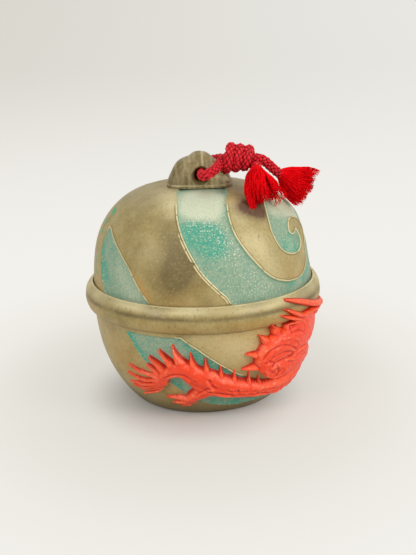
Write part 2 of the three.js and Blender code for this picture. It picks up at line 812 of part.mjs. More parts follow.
function makeTassel({ side, stations }) {
  const across = new THREE.Vector3(...side).normalize();
  const path = stations.map(([x, y, z]) => new THREE.Vector3(x, y, z));
  const rings = stations.map(([, , , half, thick], i) => {
    const along = path[Math.min(i + 1, path.length - 1)].clone().sub(path[Math.max(i - 1, 0)]).normalize();
    const wide = across.clone().addScaledVector(along, -across.dot(along)).normalize();
    const deep = along.clone().cross(wide);
    const ring = [];
    for (let j = 0; j < TASSEL_CORNERS; j += 1) {
      const angle = (2 * Math.PI * (j + 0.5)) / TASSEL_CORNERS;
      const point = path[i].clone()
        .addScaledVector(wide, half * Math.cos(angle))
        .addScaledVector(deep, thick * Math.sin(angle));
      ring.push(point.toArray());
    }
    return ring;
  });
  return skinned(rings).subtract(domeSkin(TASSEL_LIFT));
}

const bronze = new THREE.MeshStandardMaterial({ color: 0xa99b68, roughness: 0.5, metalness: 0.45 });
const paleClay = new THREE.MeshStandardMaterial({ color: 0xc9b79a, roughness: 0.9, metalness: 0 });
const vermilion = new THREE.MeshStandardMaterial({ color: 0xee4a2c, roughness: 0.4, metalness: 0 });
const redCord = new THREE.MeshStandardMaterial({ color: 0xc8101f, roughness: 0.75, metalness: 0 });
const redFringe = new THREE.MeshStandardMaterial({ color: 0xdf1020, roughness: 0.8, metalness: 0 });

const bell = new THREE.Group();

function addPiece(name, solid, material) {
  const mesh = new THREE.Mesh(geometryOf(solid), material);
  mesh.name = name;
  bell.add(mesh);
}

addPiece('upper_shell', makeUpperShell(), bronze);
addPiece('lower_shell', makeLowerShell(), bronze);
addPiece('equator_band', makeBand(), bronze);
addPiece('hanging_lug', makeLug(), bronze);
addPiece('rattle_ball', makeBall(), paleClay);
addPiece('dragon_body', makeDragonBody(), vermilion);
addPiece('dragon_tail_tuft', makeTailTuft(), vermilion);
addPiece('dragon_neck', makeDragonNeck(), vermilion);
addPiece('dragon_foreleg', makeForeleg(), vermilion);
addPiece('dragon_head', makeHead(), vermilion);
addPiece('dragon_front_horn', ridge(HORNS[0], { steps: 2 }), vermilion);
addPiece('dragon_rear_horn', ridge(HORNS[1], { steps: 2 }), vermilion);
addPiece('dragon_upper_whisker', ridge(WHISKERS[0], { steps: 2, across: 2 }), vermilion);
addPiece('dragon_lower_whisker', ridge(WHISKERS[1], { steps: 2, across: 2 }), vermilion);
addPiece('cord', makeCord(), redCord);
addPiece('near_tassel', makeTassel(NEAR_TASSEL), redFringe);
addPiece('far_tassel', makeTassel(FAR_TASSEL), redFringe);

console.log(`cord length ${cordCurve.getLength().toFixed(1)} mm, least gap to itself ${cordGap().toFixed(2)} mm`);

export default bell;
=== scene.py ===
"""A round clay bell with a knotted red cord and a relief dragon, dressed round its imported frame.

Shapes are worked out in millimetres and put into meshes in metres, in the frame's own coordinates. Places
on the bell are given as on a globe, in degrees: longitude round from the front, positive to the right, and
latitude up from the seam, seen from the middle of the bell.
"""

from __future__ import annotations

import logging
import math
import sys
from collections.abc import Sequence
from dataclasses import dataclass, field
from enum import Enum
from functools import partial
from typing import Any

import bpy
import numpy as np
from mathutils import Matrix, Vector

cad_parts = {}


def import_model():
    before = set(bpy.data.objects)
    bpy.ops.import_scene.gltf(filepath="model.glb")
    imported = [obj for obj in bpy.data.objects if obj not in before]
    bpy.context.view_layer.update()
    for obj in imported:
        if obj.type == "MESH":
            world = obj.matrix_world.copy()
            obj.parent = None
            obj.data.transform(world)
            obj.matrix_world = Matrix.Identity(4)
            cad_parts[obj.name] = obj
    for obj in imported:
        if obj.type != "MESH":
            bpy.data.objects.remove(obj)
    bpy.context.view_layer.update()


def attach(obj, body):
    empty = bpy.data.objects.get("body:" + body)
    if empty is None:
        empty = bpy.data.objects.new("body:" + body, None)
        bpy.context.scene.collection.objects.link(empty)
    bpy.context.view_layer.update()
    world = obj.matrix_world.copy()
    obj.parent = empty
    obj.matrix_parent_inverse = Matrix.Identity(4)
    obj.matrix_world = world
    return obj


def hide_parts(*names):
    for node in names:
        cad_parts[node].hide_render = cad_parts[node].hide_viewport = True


LOG = logging.getLogger("clay_bell")
# Metres in a millimetre.
MM = 0.001
# How much narrower the pattern behind is than the one in front, so that it ends short of the silhouette.
BACK_SQUEEZE = 1.26
# Millimetres that stand for out of reach.
FAR = 99.0
# How many points are set against a curve at once.
CHUNK = 4000
Array = np.ndarray
Row = tuple[float, ...]
Rows = tuple[Row, ...]
Material = bpy.types.Material
Thing = bpy.types.Object


class Body(Enum):
    """The rigid bodies of the frame that pieces ride on."""

    BELL = "bell"
    CORD = "hanging_cord"
    BALL = "ball"


class Slot(Enum):
    """The record's material slots."""

    BRONZE = "bronze_clay"
    RAW = "raw_clay"
    VERMILION = "vermilion_clay"
    BRAID = "red_braid"
    FRINGE = "red_fringe"


def paint(red: float, green: float, blue: float) -> tuple[float, float, float, float]:
    """A screen colour as the linear colour that a shader takes.

    Args:
        red: Red from 0 to 255.
        green: Green from 0 to 255.
        blue: Blue from 0 to 255.

    Returns:
        Linear red, green and blue, and an alpha of 1.
    """
    share = np.array([red, green, blue]) / 255
    linear = np.where(share <= 0.04045, share / 12.92, ((share + 0.055) / 1.055) ** 2.4)
    return (float(linear[0]), float(linear[1]), float(linear[2]), 1.0)


def eased(values: Array, low: float, high: float) -> Array:
    """A soft step: 0 at low, 1 at high, and t * t * (3 - 2 * t) between, where t is the share of the way."""
    t = np.clip((values - low) / (high - low), 0, 1)
    return t * t * (3 - 2 * t)


def swell(values: Array, middle: Array | float, width: float) -> Array:
    """A smooth rise to 1 at a middle: exp(-((value - middle) / width)^2)."""
    return np.exp(-(((values - middle) / width) ** 2))


def unit(vectors: Array) -> Array:
    """Vectors divided by their own lengths."""
    return vectors / np.maximum(np.linalg.norm(vectors, axis=-1, keepdims=True), 1e-9)


def smoothed(rows: Sequence[Sequence[float]], steps: int) -> Array:
    """A Catmull-Rom curve through rows of numbers.

    Args:
        rows: Points of any dimension, two at least.
        steps: New points to each span.

    Returns:
        The curve's points, the last row included. From b to c, with a before and d after, a point is half
        of 2b + t(c - a) + t^2(2a - 5b + 4c - d) + t^3(3b - a - 3c + d).
    """
    points = np.asarray(rows, float)
    padded = np.concatenate([points[:1], points, points[-1:]])
    a, b, c, d = padded[:-3, None], padded[1:-2, None], padded[2:-1, None], padded[3:, None]
    t = (np.arange(steps) / steps)[None, :, None]
    curve = 2 * b + t * (c - a) + t**2 * (2 * a - 5 * b + 4 * c - d) + t**3 * (3 * b - a - 3 * c + d)
    return np.concatenate([curve.reshape(-1, points.shape[1]) / 2, points[-1:]])


def lumps(points: Array, size: float, seed: int, waves: int = 9) -> Array:
    """Smooth lumps like those that hands leave in clay.

    Args:
        points: Points in millimetres, of any shape that ends in 3.
        size: The rough width of a lump in millimetres.
        seed: Which lumps.
        waves: How many waves are added.

    Returns:
        Numbers of about -1 to 1: the sum of sine waves in seeded directions, over the root of their count.
    """
    chance = np.random.default_rng(seed)
    ways = unit(chance.normal(size=(waves, 3))) * chance.uniform(0.6, 1.5, (waves, 1)) * math.pi / size
    starts = chance.uniform(0, 2 * math.pi, waves)
    return np.sin(points @ ways.T + starts).sum(-1) / math.sqrt(waves)


def run_lengths(points: Array) -> Array:
    """How far along its line each of a row of points is: the lengths of the steps before it, added up."""
    return np.concatenate([[0], np.cumsum(np.linalg.norm(np.diff(points, axis=0), axis=1))])


def round_axis(reach: Array | float, turn: Array, z: Array) -> Array:
    """Points round the upright axis: x = r sin(turn), y = -r cos(turn), at the heights z."""
    return np.stack([reach * np.sin(turn), -reach * np.cos(turn), z], -1)


def at_height(flat: Array, height: float) -> Array:
    """Flat places (n, 2) as points at a height."""
    return np.column_stack([flat, np.full(len(flat), height)])


def crease_max(first: Array, second: Array, blend: float) -> Array:
    """The larger of two heights, with the crease between them filled over a blend in millimetres."""
    near = np.maximum(blend - np.abs(first - second), 0)
    return np.maximum(first, second) + near * near / (4 * blend)


@dataclass(frozen=True)
class BellForm:
    """The turned form that everything else sits on, in millimetres."""

    radius: float = 34.6
    seam: float = 34.0
    dome_rise: float = 34.7
    dome_power: float = 3.05
    base_radius: float = 21.5
    bowl_power: float = 2.25
    wall: float = 4.4
    joint: float = 0.3
    band_height: float = 8.7
    band_proud: float = 2.9
    band_offset: float = 0.4
    crease_spread: float = 0.9

    @property
    def bowl_depth(self) -> float:
        """The depth at which the bowl's superellipse would close, below the base."""
        share = 1 - (self.base_radius / self.radius) ** self.bowl_power
        return self.seam / share ** (1 / self.bowl_power)

    @staticmethod
    def superellipse(latitude: Array, radius: float, rise: float, power: float) -> Array:
        """The reach r for which (r cos / radius)^power + (r sin / rise)^power is 1."""
        turn = np.radians(latitude)
        across = np.abs(np.cos(turn) / radius) ** power
        return (across + np.abs(np.sin(turn) / rise) ** power) ** (-1 / power)

    def body(self, latitude: Array) -> Array:
        """The reach of the two halves from the middle of the bell: one superellipse each, cut at the base."""
        turn = np.radians(latitude)
        dome = self.superellipse(latitude, self.radius, self.dome_rise, self.dome_power)
        bowl = self.superellipse(latitude, self.radius, self.bowl_depth, self.bowl_power)
        flat = self.seam / np.maximum(np.abs(np.sin(turn)), 1e-6)
        return np.where(latitude >= 0, dome, np.minimum(bowl, flat))

    def band(self, latitude: Array) -> Array:
        """The reach of the band, half an ellipse in section: the far root of a quadratic, or 0 beside it."""
        turn = np.radians(latitude)
        c, s, half = np.cos(turn), np.sin(turn), self.band_height / 2
        a = (c / self.band_proud) ** 2 + (s / half) ** 2
        b = c * self.radius / self.band_proud**2 + s * self.band_offset / half**2
        k = (self.radius / self.band_proud) ** 2 + (self.band_offset / half) ** 2 - 1
        inside = b * b - a * k
        return np.where(inside > 0, (b + np.sqrt(np.maximum(inside, 0))) / a, 0)

    def seat(self, latitude: Array) -> Array:
        """What a sprig lies on: the body or the band, with the creases beside the band filled a little."""
        reach = self.body(latitude)
        for shift in (-self.crease_spread, 0, self.crease_spread):
            reach = np.maximum(reach, self.band(latitude + shift))
        return reach

    def place(
        self, longitude: Array, latitude: Array, lift: Array | float = 0.0, seat: bool = False
    ) -> Array:
        """Points on the bell, in millimetres.

        Args:
            longitude: Degrees round from the front.
            latitude: Degrees up from the seam.
            lift: Millimetres outwards.
            seat: Whether the points lie on the band where it stands out.

        Returns:
            Points (x, y, z), with x = r cos(lat) sin(lon), y = -r cos(lat) cos(lon), z = seam + r sin(lat).
        """
        reach = (self.seat(latitude) if seat else self.body(latitude)) + lift
        lon, lat = np.radians(longitude), np.radians(latitude)
        return round_axis(reach * np.cos(lat), lon, self.seam + reach * np.sin(lat))

    def clear(self, points: Array, gap: float) -> Array:
        """Points pushed straight out from the bell's middle until they are a gap outside its body."""
        middle = np.array([0, 0, self.seam])
        away = points - middle
        reach = np.linalg.norm(away, axis=-1)
        latitude = np.degrees(np.arcsin(np.clip(away[..., 2] / reach, -1, 1)))
        wanted = np.maximum(reach, self.body(latitude) + gap)
        return middle + away * (wanted / reach)[..., None]


FORM = BellForm()


@dataclass
class Skin:
    """One closed surface: its points in millimetres, its four-cornered and three-cornered faces, and the
    numbers that are painted on its points."""

    points: Array
    quads: Array
    triangles: Array = field(default_factory=lambda: np.zeros((0, 3), int))
    marks: dict[str, Array] = field(default_factory=dict)

    def turned_out(self) -> Skin:
        """The same skin with its faces outwards, by the sign of its volume (the sum of a . b x c / 6)."""
        a, b, c, d = (self.points[self.quads[:, i]] for i in range(4))
        volume = (a * np.cross(b, c)).sum() + (a * np.cross(c, d)).sum()
        if len(self.triangles):
            e, f, g = (self.points[self.triangles[:, i]] for i in range(3))
            volume += (e * np.cross(f, g)).sum()
        if volume < 0:
            self.quads = self.quads[:, ::-1]
            self.triangles = self.triangles[:, ::-1]
        return self


def ring_quads(rows: int, columns: int, joined_ends: bool = False) -> Array:
    """The faces between rows of points that go round.

    Args:
        rows: How many rings.
        columns: Points to a ring. The last is beside the first.
        joined_ends: Whether the last ring is beside the first.

    Returns:
        Four corners to a face.
    """
    ring = np.arange(columns)
    after = (ring + 1) % columns
    count = rows if joined_ends else rows - 1
    low = np.arange(count)[:, None] * columns
    high = ((np.arange(count) + 1) % rows)[:, None] * columns
    return np.stack([low + ring, low + after, high + after, high + ring], -1).reshape(-1, 4)


def pole_triangles(ring_start: int, columns: int, pole: int) -> Array:
    """The fan of faces from a ring of points to the one point that closes it."""
    ring = np.arange(columns)
    return np.stack([ring_start + ring, ring_start + (ring + 1) % columns, np.full(columns, pole)], -1)


def tube(rings: Array, marks: dict[str, Array] | None = None) -> Skin:
    """A closed skin over rings of points, with a point in the middle of each end.

    Args:
        rings: Points (rows, columns, 3).
        marks: Numbers (rows, columns) to paint on the points.

    Returns:
        The skin, its faces outwards.
    """
    rows, columns, _ = rings.shape
    points = np.concatenate([rings.reshape(-1, 3), rings[0].mean(0)[None], rings[-1].mean(0)[None]])
    first = pole_triangles(0, columns, rows * columns)[:, ::-1]
    last = pole_triangles((rows - 1) * columns, columns, rows * columns + 1)
    kept = {
        name: np.concatenate([values.ravel(), [values[0].mean(), values[-1].mean()]])
        for name, values in (marks or {}).items()
    }
    return Skin(points, ring_quads(rows, columns), np.concatenate([first, last]), kept).turned_out()


def put_in(name: str, data: Any) -> Thing:
    """Puts a mesh, camera or lamp into the scene as an object."""
    thing = bpy.data.objects.new(name, data)
    bpy.context.scene.collection.objects.link(thing)
    return thing


def make_piece(name: str, skin: Skin, material: Material, body: Body, slot: Slot, *nodes: str) -> Thing:
    """Puts a skin into a mesh object in metres that rides on a body and stands for nodes of the frame.

    Args:
        name: The piece's name.
        skin: Its surface.
        material: Its finish.
        body: The body that it rides on.
        slot: The record's slot for its finish; not used.
        nodes: The nodes that it stands for.

    Returns:
        The object, at the origin.
    """
    mesh = bpy.data.meshes.new(name)
    mesh.from_pydata((skin.points * MM).tolist(), [], skin.quads.tolist() + skin.triangles.tolist())
    mesh.polygons.foreach_set("use_smooth", np.ones(len(mesh.polygons), bool))
    for mark, values in skin.marks.items():
        layer = mesh.attributes.new(mark, "FLOAT", "POINT")
        layer.data.foreach_set("value", values.astype(np.float32).ravel())
    mesh.materials.append(material)
    mesh.update()
    piece = put_in(name, mesh)
    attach(piece, body.value)
    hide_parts(*nodes)
    LOG.info("%s: %d points, %d faces", name, len(mesh.vertices), len(mesh.polygons))
    return piece


@dataclass(frozen=True)
class Line:
    """A curve that lies on the bell, as close points."""

    places: Array

    @classmethod
    def through(cls, rows: Sequence[Sequence[float]], steps: int = 8, seat: bool = False) -> Line:
        """A smooth curve through rows of (longitude, latitude)."""
        curve = smoothed(rows, steps)
        return cls(FORM.place(curve[:, 0], curve[:, 1], 0, seat))

    def nearest(self, points: Array) -> tuple[Array, Array, Array]:
        """Where points lie beside the curve.

        Args:
            points: Points (n, 3) in millimetres.

        Returns:
            For each point its distance from the curve, its share of the way along as a fractional row,
            and 1 or -1 for its side: the sign of (way x offset) . outwards. The foot of a point on a
            stretch from a to b is at t = (p - a) . (b - a) / |b - a|^2, clipped to 0..1.
        """
        a, ways = self.places[:-1], np.diff(self.places, axis=0)
        lengths = np.maximum((ways * ways).sum(-1), 1e-12)
        distance = np.full(len(points), np.inf)
        along = np.zeros(len(points))
        side = np.ones(len(points))
        for start in range(0, len(points), CHUNK):
            own = slice(start, start + CHUNK)
            part = points[own]
            out = part - np.array([0, 0, FORM.seam])
            rough = ((part[:, None] - a[None]) ** 2).sum(-1).argmin(1)
            for shift in (-1, 0):
                row = np.clip(rough + shift, 0, len(a) - 1)
                offset = part - a[row]
                t = np.clip((offset * ways[row]).sum(-1) / lengths[row], 0, 1)
                off = offset - t[:, None] * ways[row]
                far = np.linalg.norm(off, axis=-1)
                turn = np.sign((np.cross(ways[row], off) * out).sum(-1))
                better = far < distance[own]
                distance[own] = np.where(better, far, distance[own])
                along[own] = np.where(better, row + t, along[own])
                side[own] = np.where(better, turn, side[own])
        return distance, along, np.where(side == 0, 1, side)


def inside_outline(outline: Array, longitude: Array, latitude: Array) -> Array:
    """Whether places are inside a closed outline of (longitude, latitude).

    Args:
        outline: The outline's corners (m, 2).
        longitude: Degrees.
        latitude: Degrees.

    Returns:
        True where an odd number of the outline's sides cross the line of latitude to the right.
    """
    inside = np.zeros(longitude.shape, bool)
    for (x1, y1), (x2, y2) in zip(outline, np.roll(outline, -1, 0)):
        if y1 == y2:
            continue
        crossed = (latitude > min(y1, y2)) & (latitude <= max(y1, y2))
        inside ^= crossed & (longitude < x1 + (latitude - y1) * (x2 - x1) / (y2 - y1))
    return inside


@dataclass(frozen=True)
class SunkField:
    """A field sunk into the body between two edges, given by rows of (lon, lat) on one edge, then the other.
    A rim is a run of rows of one edge with a raised line beside it: edge, first row, last row, lines."""

    rows: Rows
    rims: tuple[tuple[int, int, int, int], ...]
    steps: int = 6
    end_points: int = 14

    def edge(self, which: int, first: int = 0, last: int | None = None) -> Array:
        """The rows of one edge, from one row to before another."""
        return np.array(self.rows)[first:last, 2 * which : 2 * which + 2]

    def distance(self, longitude: Array, latitude: Array, points: Array) -> tuple[Array, Array, Array]:
        """How far points are from the field's edges and from its rims.

        Args:
            longitude: Degrees, from -180 to 180 round the field's own front.
            latitude: Degrees.
            points: The same places in millimetres, turned to the field's own front.

        Returns:
            Millimetres to the outline, positive inside, and to the nearest rim of one line and of two.
        """
        one, two = smoothed(self.edge(0), self.steps), smoothed(self.edge(1), self.steps)
        share = np.linspace(0, 1, self.end_points)[1:-1, None]
        far, near = one[-1] * (1 - share) + two[-1] * share, two[0] * (1 - share) + one[0] * share
        outline = np.concatenate([one, far, two[::-1], near, one[:1]])
        within = inside_outline(outline[:-1], longitude, latitude)
        away = Line(FORM.place(outline[:, 0], outline[:, 1])).nearest(points)[0]
        rims = [np.full(len(points), FAR), np.full(len(points), FAR)]
        for which, first, last, lines in self.rims:
            far = Line.through(self.edge(which, first, last), self.steps).nearest(points)[0]
            rims[lines - 1] = np.minimum(rims[lines - 1], far)
        return np.where(within, away, -away), rims[0], rims[1]


WHIRL_FIELD = SunkField(
    (
        (-110, 84, 110, 84), (-83, 79, 78.2, 75.9), (-49.6, 75.7, 51.8, 73), (-26, 64, 26.8, 62.3),
        (-19.5, 56, 20.8, 54.8), (-15.6, 48.8, 18.5, 47.8), (-10.8, 40, 19.3, 39.9),
        (-4.5, 30.1, 23.5, 32.3), (0, 23.8, 27.8, 26.9), (6, 17.6, 33.8, 20.6), (11.5, 12.4, 39, 17),
        (17.5, 6.8, 44.6, 14.8), (38, 6.8, 51, 13.3), (58, 6.8, 59.8, 13.1), (78, 7, 65.5, 15.2),
        (92, 11, 70.4, 19.8), (100, 20, 72.6, 26), (101, 32, 78.6, 32.6), (93, 44, 79.6, 36.6),
        (78, 51.5, 74.6, 39.8), (61, 54, 67.4, 41), (50.5, 48.5, 61.8, 39.1), (45.2, 40.5, 59.2, 37),
        (45.2, 34.5, 58.7, 35.3), (48.2, 29.2, 60, 34), (54.5, 26.2, 61.6, 33.5), (62, 25.8, 63.3, 33.7),
        (67.6, 29, 65.2, 34.2), (67.6, 34.6, 66.9, 35),
    ),
    ((0, 4, 7, 1), (0, 6, 12, 2), (1, 4, 29, 1), (0, 20, 29, 1)),
)
WEDGE_FIELD = SunkField(
    (
        (-67.4, 38.4, -65.8, 38.2), (-69, 34.8, -58.7, 34.8), (-69.1, 29, -49, 29.2),
        (-67.8, 22.5, -40.6, 22.7), (-65.7, 15, -34.4, 14.9), (-61, 6.8, -27.3, 6.9),
    ),
    ((1, 0, 6, 1),),
)
BOWL_FIELD = SunkField(
    (
        (-44.6, -8.6, -12, -8.9), (-41.6, -12.6, -8.5, -11.8), (-38.6, -17.2, -3.8, -14.9),
        (-35, -21.9, 3.1, -20.2), (-31, -26.4, 10.3, -25.3), (-24, -31.6, 18.3, -30.3),
        (-15, -38.2, 27, -33.6), (-6, -45, 38, -37.3), (5, -49, 54, -41), (20, -51.3, 72, -45),
        (42, -52, 88, -49.5), (64, -53.4, 96, -53),
    ),
    ((1, 0, 6, 1),),
)

# Painted clouds: longitude, latitude, radius in millimetres, strength.
TONES: dict[str, Rows] = {
    "teal": (
        (1.5, 41, 4.2, 1.3), (-4, 43, 3, 0.9), (8, 38.5, 3, 1.3), (-3.5, 37.5, 2.2, 0.5),
        (11, 33.6, 3, 0.4), (-9.5, 45.5, 2, 0.5), (3, 33, 3.2, 0.35), (9, 27, 4, 0.25), (54, 28, 3.4, 0.5),
        (51, 31.5, 2.6, 0.3), (60, 27.5, 2.8, 0.6), (57, 33, 2.2, 0.3), (54, 12.6, 2.2, 0.9),
        (66, 13, 2.2, 0.8), (73, 15, 2, 0.6), (-64, 20, 3, 0.75), (-67, 28, 2.2, 0.6),
        (-60, 14.5, 2.6, 0.5), (-57, 30, 2.4, 0.4), (-42, -11, 1.6, 0.9), (-40, -14.5, 1.6, 0.9),
        (-37, -19, 1.7, 1), (-33.5, -23, 1.7, 1), (-13.4, -9.8, 1.4, 0.7), (-9.8, -13.4, 1.5, 0.9),
        (-5.6, -17, 1.6, 0.9), (-1, -20.6, 1.7, 1), (4, -24, 1.8, 1.1), (9, -27.4, 1.8, 1.1),
        (14, -30.4, 1.8, 1), (20, -32.6, 2, 1), (27, -35, 2, 0.9), (-4.2, -22, 2.4, 1.3),
        (-16, -36, 2.6, 0.7), (5.8, -46.9, 3, 0.7), (20, -49, 3.4, 0.8), (36, -50, 3, 0.5),
    ),
    "cream": (
        (0, 67, 8, 1.0), (3, 59, 5.4, 0.85), (-6, 55.4, 4, 0.7), (9, 51.6, 3.4, 0.4), (57, 29, 4, 0.4),
        (76, 47, 7, 0.9), (88, 40, 7, 0.9), (58, 48, 3.4, 0.55), (-44, 16, 5.5, 0.4), (-50, 24, 4, 0.28),
        (-36, 9, 4, 0.34), (33, 13, 5, 0.3), (60, 9, 6, 0.3), (-30, -14, 4, 0.2), (-60, 34, 3, 0.3),
    ),
    "specks": (
        (-7, 47, 3.4, 0.7), (1, 47, 4, 0.75), (8, 45, 4, 0.8), (13, 39, 4, 0.9), (17, 34, 4, 0.7),
        (13, 29, 5, 0.55), (27, 20, 5, 0.6), (20, 14, 6, 0.5), (40, 10, 6, 0.5), (60, 45, 4, 0.5),
        (50, 33, 3, 0.4),
    ),
    # Brown: a painted shadow and painted reflection of the tassel on the dome.
    "brown": (
        (42.6, 51.6, 3.4, 1.25), (37.4, 53.4, 3, 1.05), (43, 47.6, 2.4, 0.7), (46, 54, 2.4, 0.8),
        (31, 51.4, 2.8, 0.4),
    ),
    "warm": (
        (-12, 10, 7, 0.45), (-37.4, 21.4, 0.9, 0.8), (-35.2, 19.2, 1, 0.9), (-33.2, 17, 1, 0.9),
        (-31.4, 15.1, 1.1, 0.9), (-29.2, 12.6, 1.1, 0.9), (-27, 10, 1.2, 0.8),
        (-72, 15, 2.6, 0.8), (52, 18, 5, 0.3), (-65, 9, 2.6, 0.7), (24, -10, 7, 0.8), (38, -12, 6, 0.7),
        (8, -10, 6, 0.6), (-52, -24, 8, 0.7), (-20, -44, 5, 0.4), (22, -20, 5, 0.5),
        (66, 16, 3, 0.6),
    ),
    # Dark: a painted dark reflection across the middle of the dome, and painted shade.
    "dark": (
        (-9, 28, 6, 0.8), (-17, 37, 4.6, 0.7), (-22, 45, 3.6, 0.45), (-14, 24, 5, 0.7), (-15, 18.5, 5, 0.7),
        (-29, 27, 5, 0.2), (-40, 36, 4, 0.15), (-42, 53, 5, 0.15),
        (42, 30, 3.4, 0.2), (53, 55, 4, 0.4), (-52, -8, 5, 0.35), (2, 9.5, 3, 0.4),
    ),
    # Pale: painted highlights, on the dome and the bowl.
    "pale": (
        (-34, 66, 4.6, 0.8), (-26, 58, 3, 0.8), (-21, 51, 2, 0.5), (27, 39, 5, 0.3), (32, 35, 4.6, 0.2),
        (36, 29, 4, 0.4), (26, 48, 3, 0.5), (38, 22, 4, 0.3), (44, 17, 4, 0.25), (60, 21, 4, 0.4),
        (72, 24, 3, 0.5), (10, -12, 6, 0.45), (30, -16, 7, 0.3), (-3, -8, 4, 0.4), (-56, -14, 7, 0.2),
        (47, 50.4, 0.55, 1), (26, 57, 3, 0.3), (62, 37, 1.6, 0.4), (77, 31, 1.6, 0.5), (20, -17, 5, 0.45),
    ),
    "grey": (
        (-62, 62, 10, 0.55), (-92, 52, 9, 0.5), (-20, 76, 8, 0.5), (95, 60, 9, 0.4), (-84, 20, 6, 0.3),
        (30, 35, 4, 0.35),
    ),
}
# Green dabs of the brush: longitude, latitude, radius in millimetres.
GREEN_DABS: Rows = (
    (-82, 45.8, 1.1), (-79, 45.3, 0.95), (-76.2, 44.3, 0.7), (-81.6, 39.8, 0.8), (-79.4, 39.2, 0.7),
    (-78, 35.4, 0.75), (-76, 34.6, 0.6), (-78.2, 26.9, 0.6), (-77.6, 25.4, 0.5), (-77.3, 22.4, 0.5),
    (-77, 21.2, 0.5), (-76.8, 20, 0.5), (-76.8, 18.8, 0.5), (-76.8, 17.6, 0.5), (-76, 16.4, 0.5),
    (-74.6, 15.5, 0.5), (-72.6, 15.2, 0.45), (-71, 15.3, 0.4),
)


def away_from(lon: float, lat: float, points: Array) -> Array:
    """Millimetres from one place on the bell to points."""
    return np.linalg.norm(points - FORM.place(np.array(lon), np.array(lat)), axis=-1)


def clouds(rows: Rows, points: Array) -> Array:
    """How strongly painted clouds cover points.

    Args:
        rows: Longitude, latitude, radius in millimetres and strength of each cloud.
        points: Points (n, 3) in millimetres.

    Returns:
        The sum of strength * exp(-(distance / radius)^2).
    """
    total = np.zeros(len(points))
    for lon, lat, radius, strength in rows:
        total += strength * swell(away_from(lon, lat, points), 0, radius)
    return total


def dabs(rows: Rows, points: Array) -> Array:
    """How far dabs with a soft edge cover points.

    Args:
        rows: Longitude, latitude and radius in millimetres of each dab.
        points: Points (n, 3) in millimetres.

    Returns:
        1 inside three quarters of a dab's radius, and 0 beyond one and a quarter.
    """
    total = np.zeros(len(points))
    for lon, lat, radius in rows:
        total = np.maximum(total, 1 - eased(away_from(lon, lat, points) / radius, 0.75, 1.25))
    return total


class Socket:
    """A shader socket with arithmetic: an expression on numbers adds its Math nodes."""

    def __init__(self, graph: Graph, socket: bpy.types.NodeSocket) -> None:
        """Wraps one output socket of a graph."""
        self.graph = graph
        self.socket = socket

    def _math(self, operation: str, first: Any, second: Any) -> Socket:
        """One Math node on two numbers or sockets."""
        return self.graph.node("ShaderNodeMath", {"operation": operation}, {0: first, 1: second}).out()

    def __add__(self, other: Any) -> Socket:
        """This plus another."""
        return self._math("ADD", self, other)

    def __radd__(self, other: Any) -> Socket:
        """Another plus this."""
        return self._math("ADD", other, self)

    def __sub__(self, other: Any) -> Socket:
        """This minus another."""
        return self._math("SUBTRACT", self, other)

    def __rsub__(self, other: Any) -> Socket:
        """Another minus this."""
        return self._math("SUBTRACT", other, self)

    def __mul__(self, other: Any) -> Socket:
        """This times another."""
        return self._math("MULTIPLY", self, other)

    def __rmul__(self, other: Any) -> Socket:
        """Another times this."""
        return self._math("MULTIPLY", other, self)

    def least(self, other: Any) -> Socket:
        """The smaller of this and another."""
        return self._math("MINIMUM", self, other)

    def most(self, other: Any) -> Socket:
        """The larger of this and another."""
        return self._math("MAXIMUM", self, other)

    def within(self, low: float, high: float, soft: float = 0.05) -> Socket:
        """1 between two values and 0 beyond them, with soft edges."""
        return self.step(low - soft, low + soft) * self.step(high + soft, high - soft)

    def step(self, low: float, high: float) -> Socket:
        """A soft step from 0 at low to 1 at high. High may be the smaller."""
        settings = {"interpolation_type": "SMOOTHSTEP"}
        sockets = {"Value": self, "From Min": min(low, high), "From Max": max(low, high)}
        rise = self.graph.node("ShaderNodeMapRange", settings, sockets).out()
        return rise if high > low else 1 - rise


class Made:
    """A node just made, and its outputs."""

    def __init__(self, graph: Graph, node: bpy.types.Node) -> None:
        """Keeps the graph and the node."""
        self.graph = graph
        self.node = node

    def out(self, which: int | str = 0) -> Socket:
        """One of the node's outputs."""
        return Socket(self.graph, self.node.outputs[which])


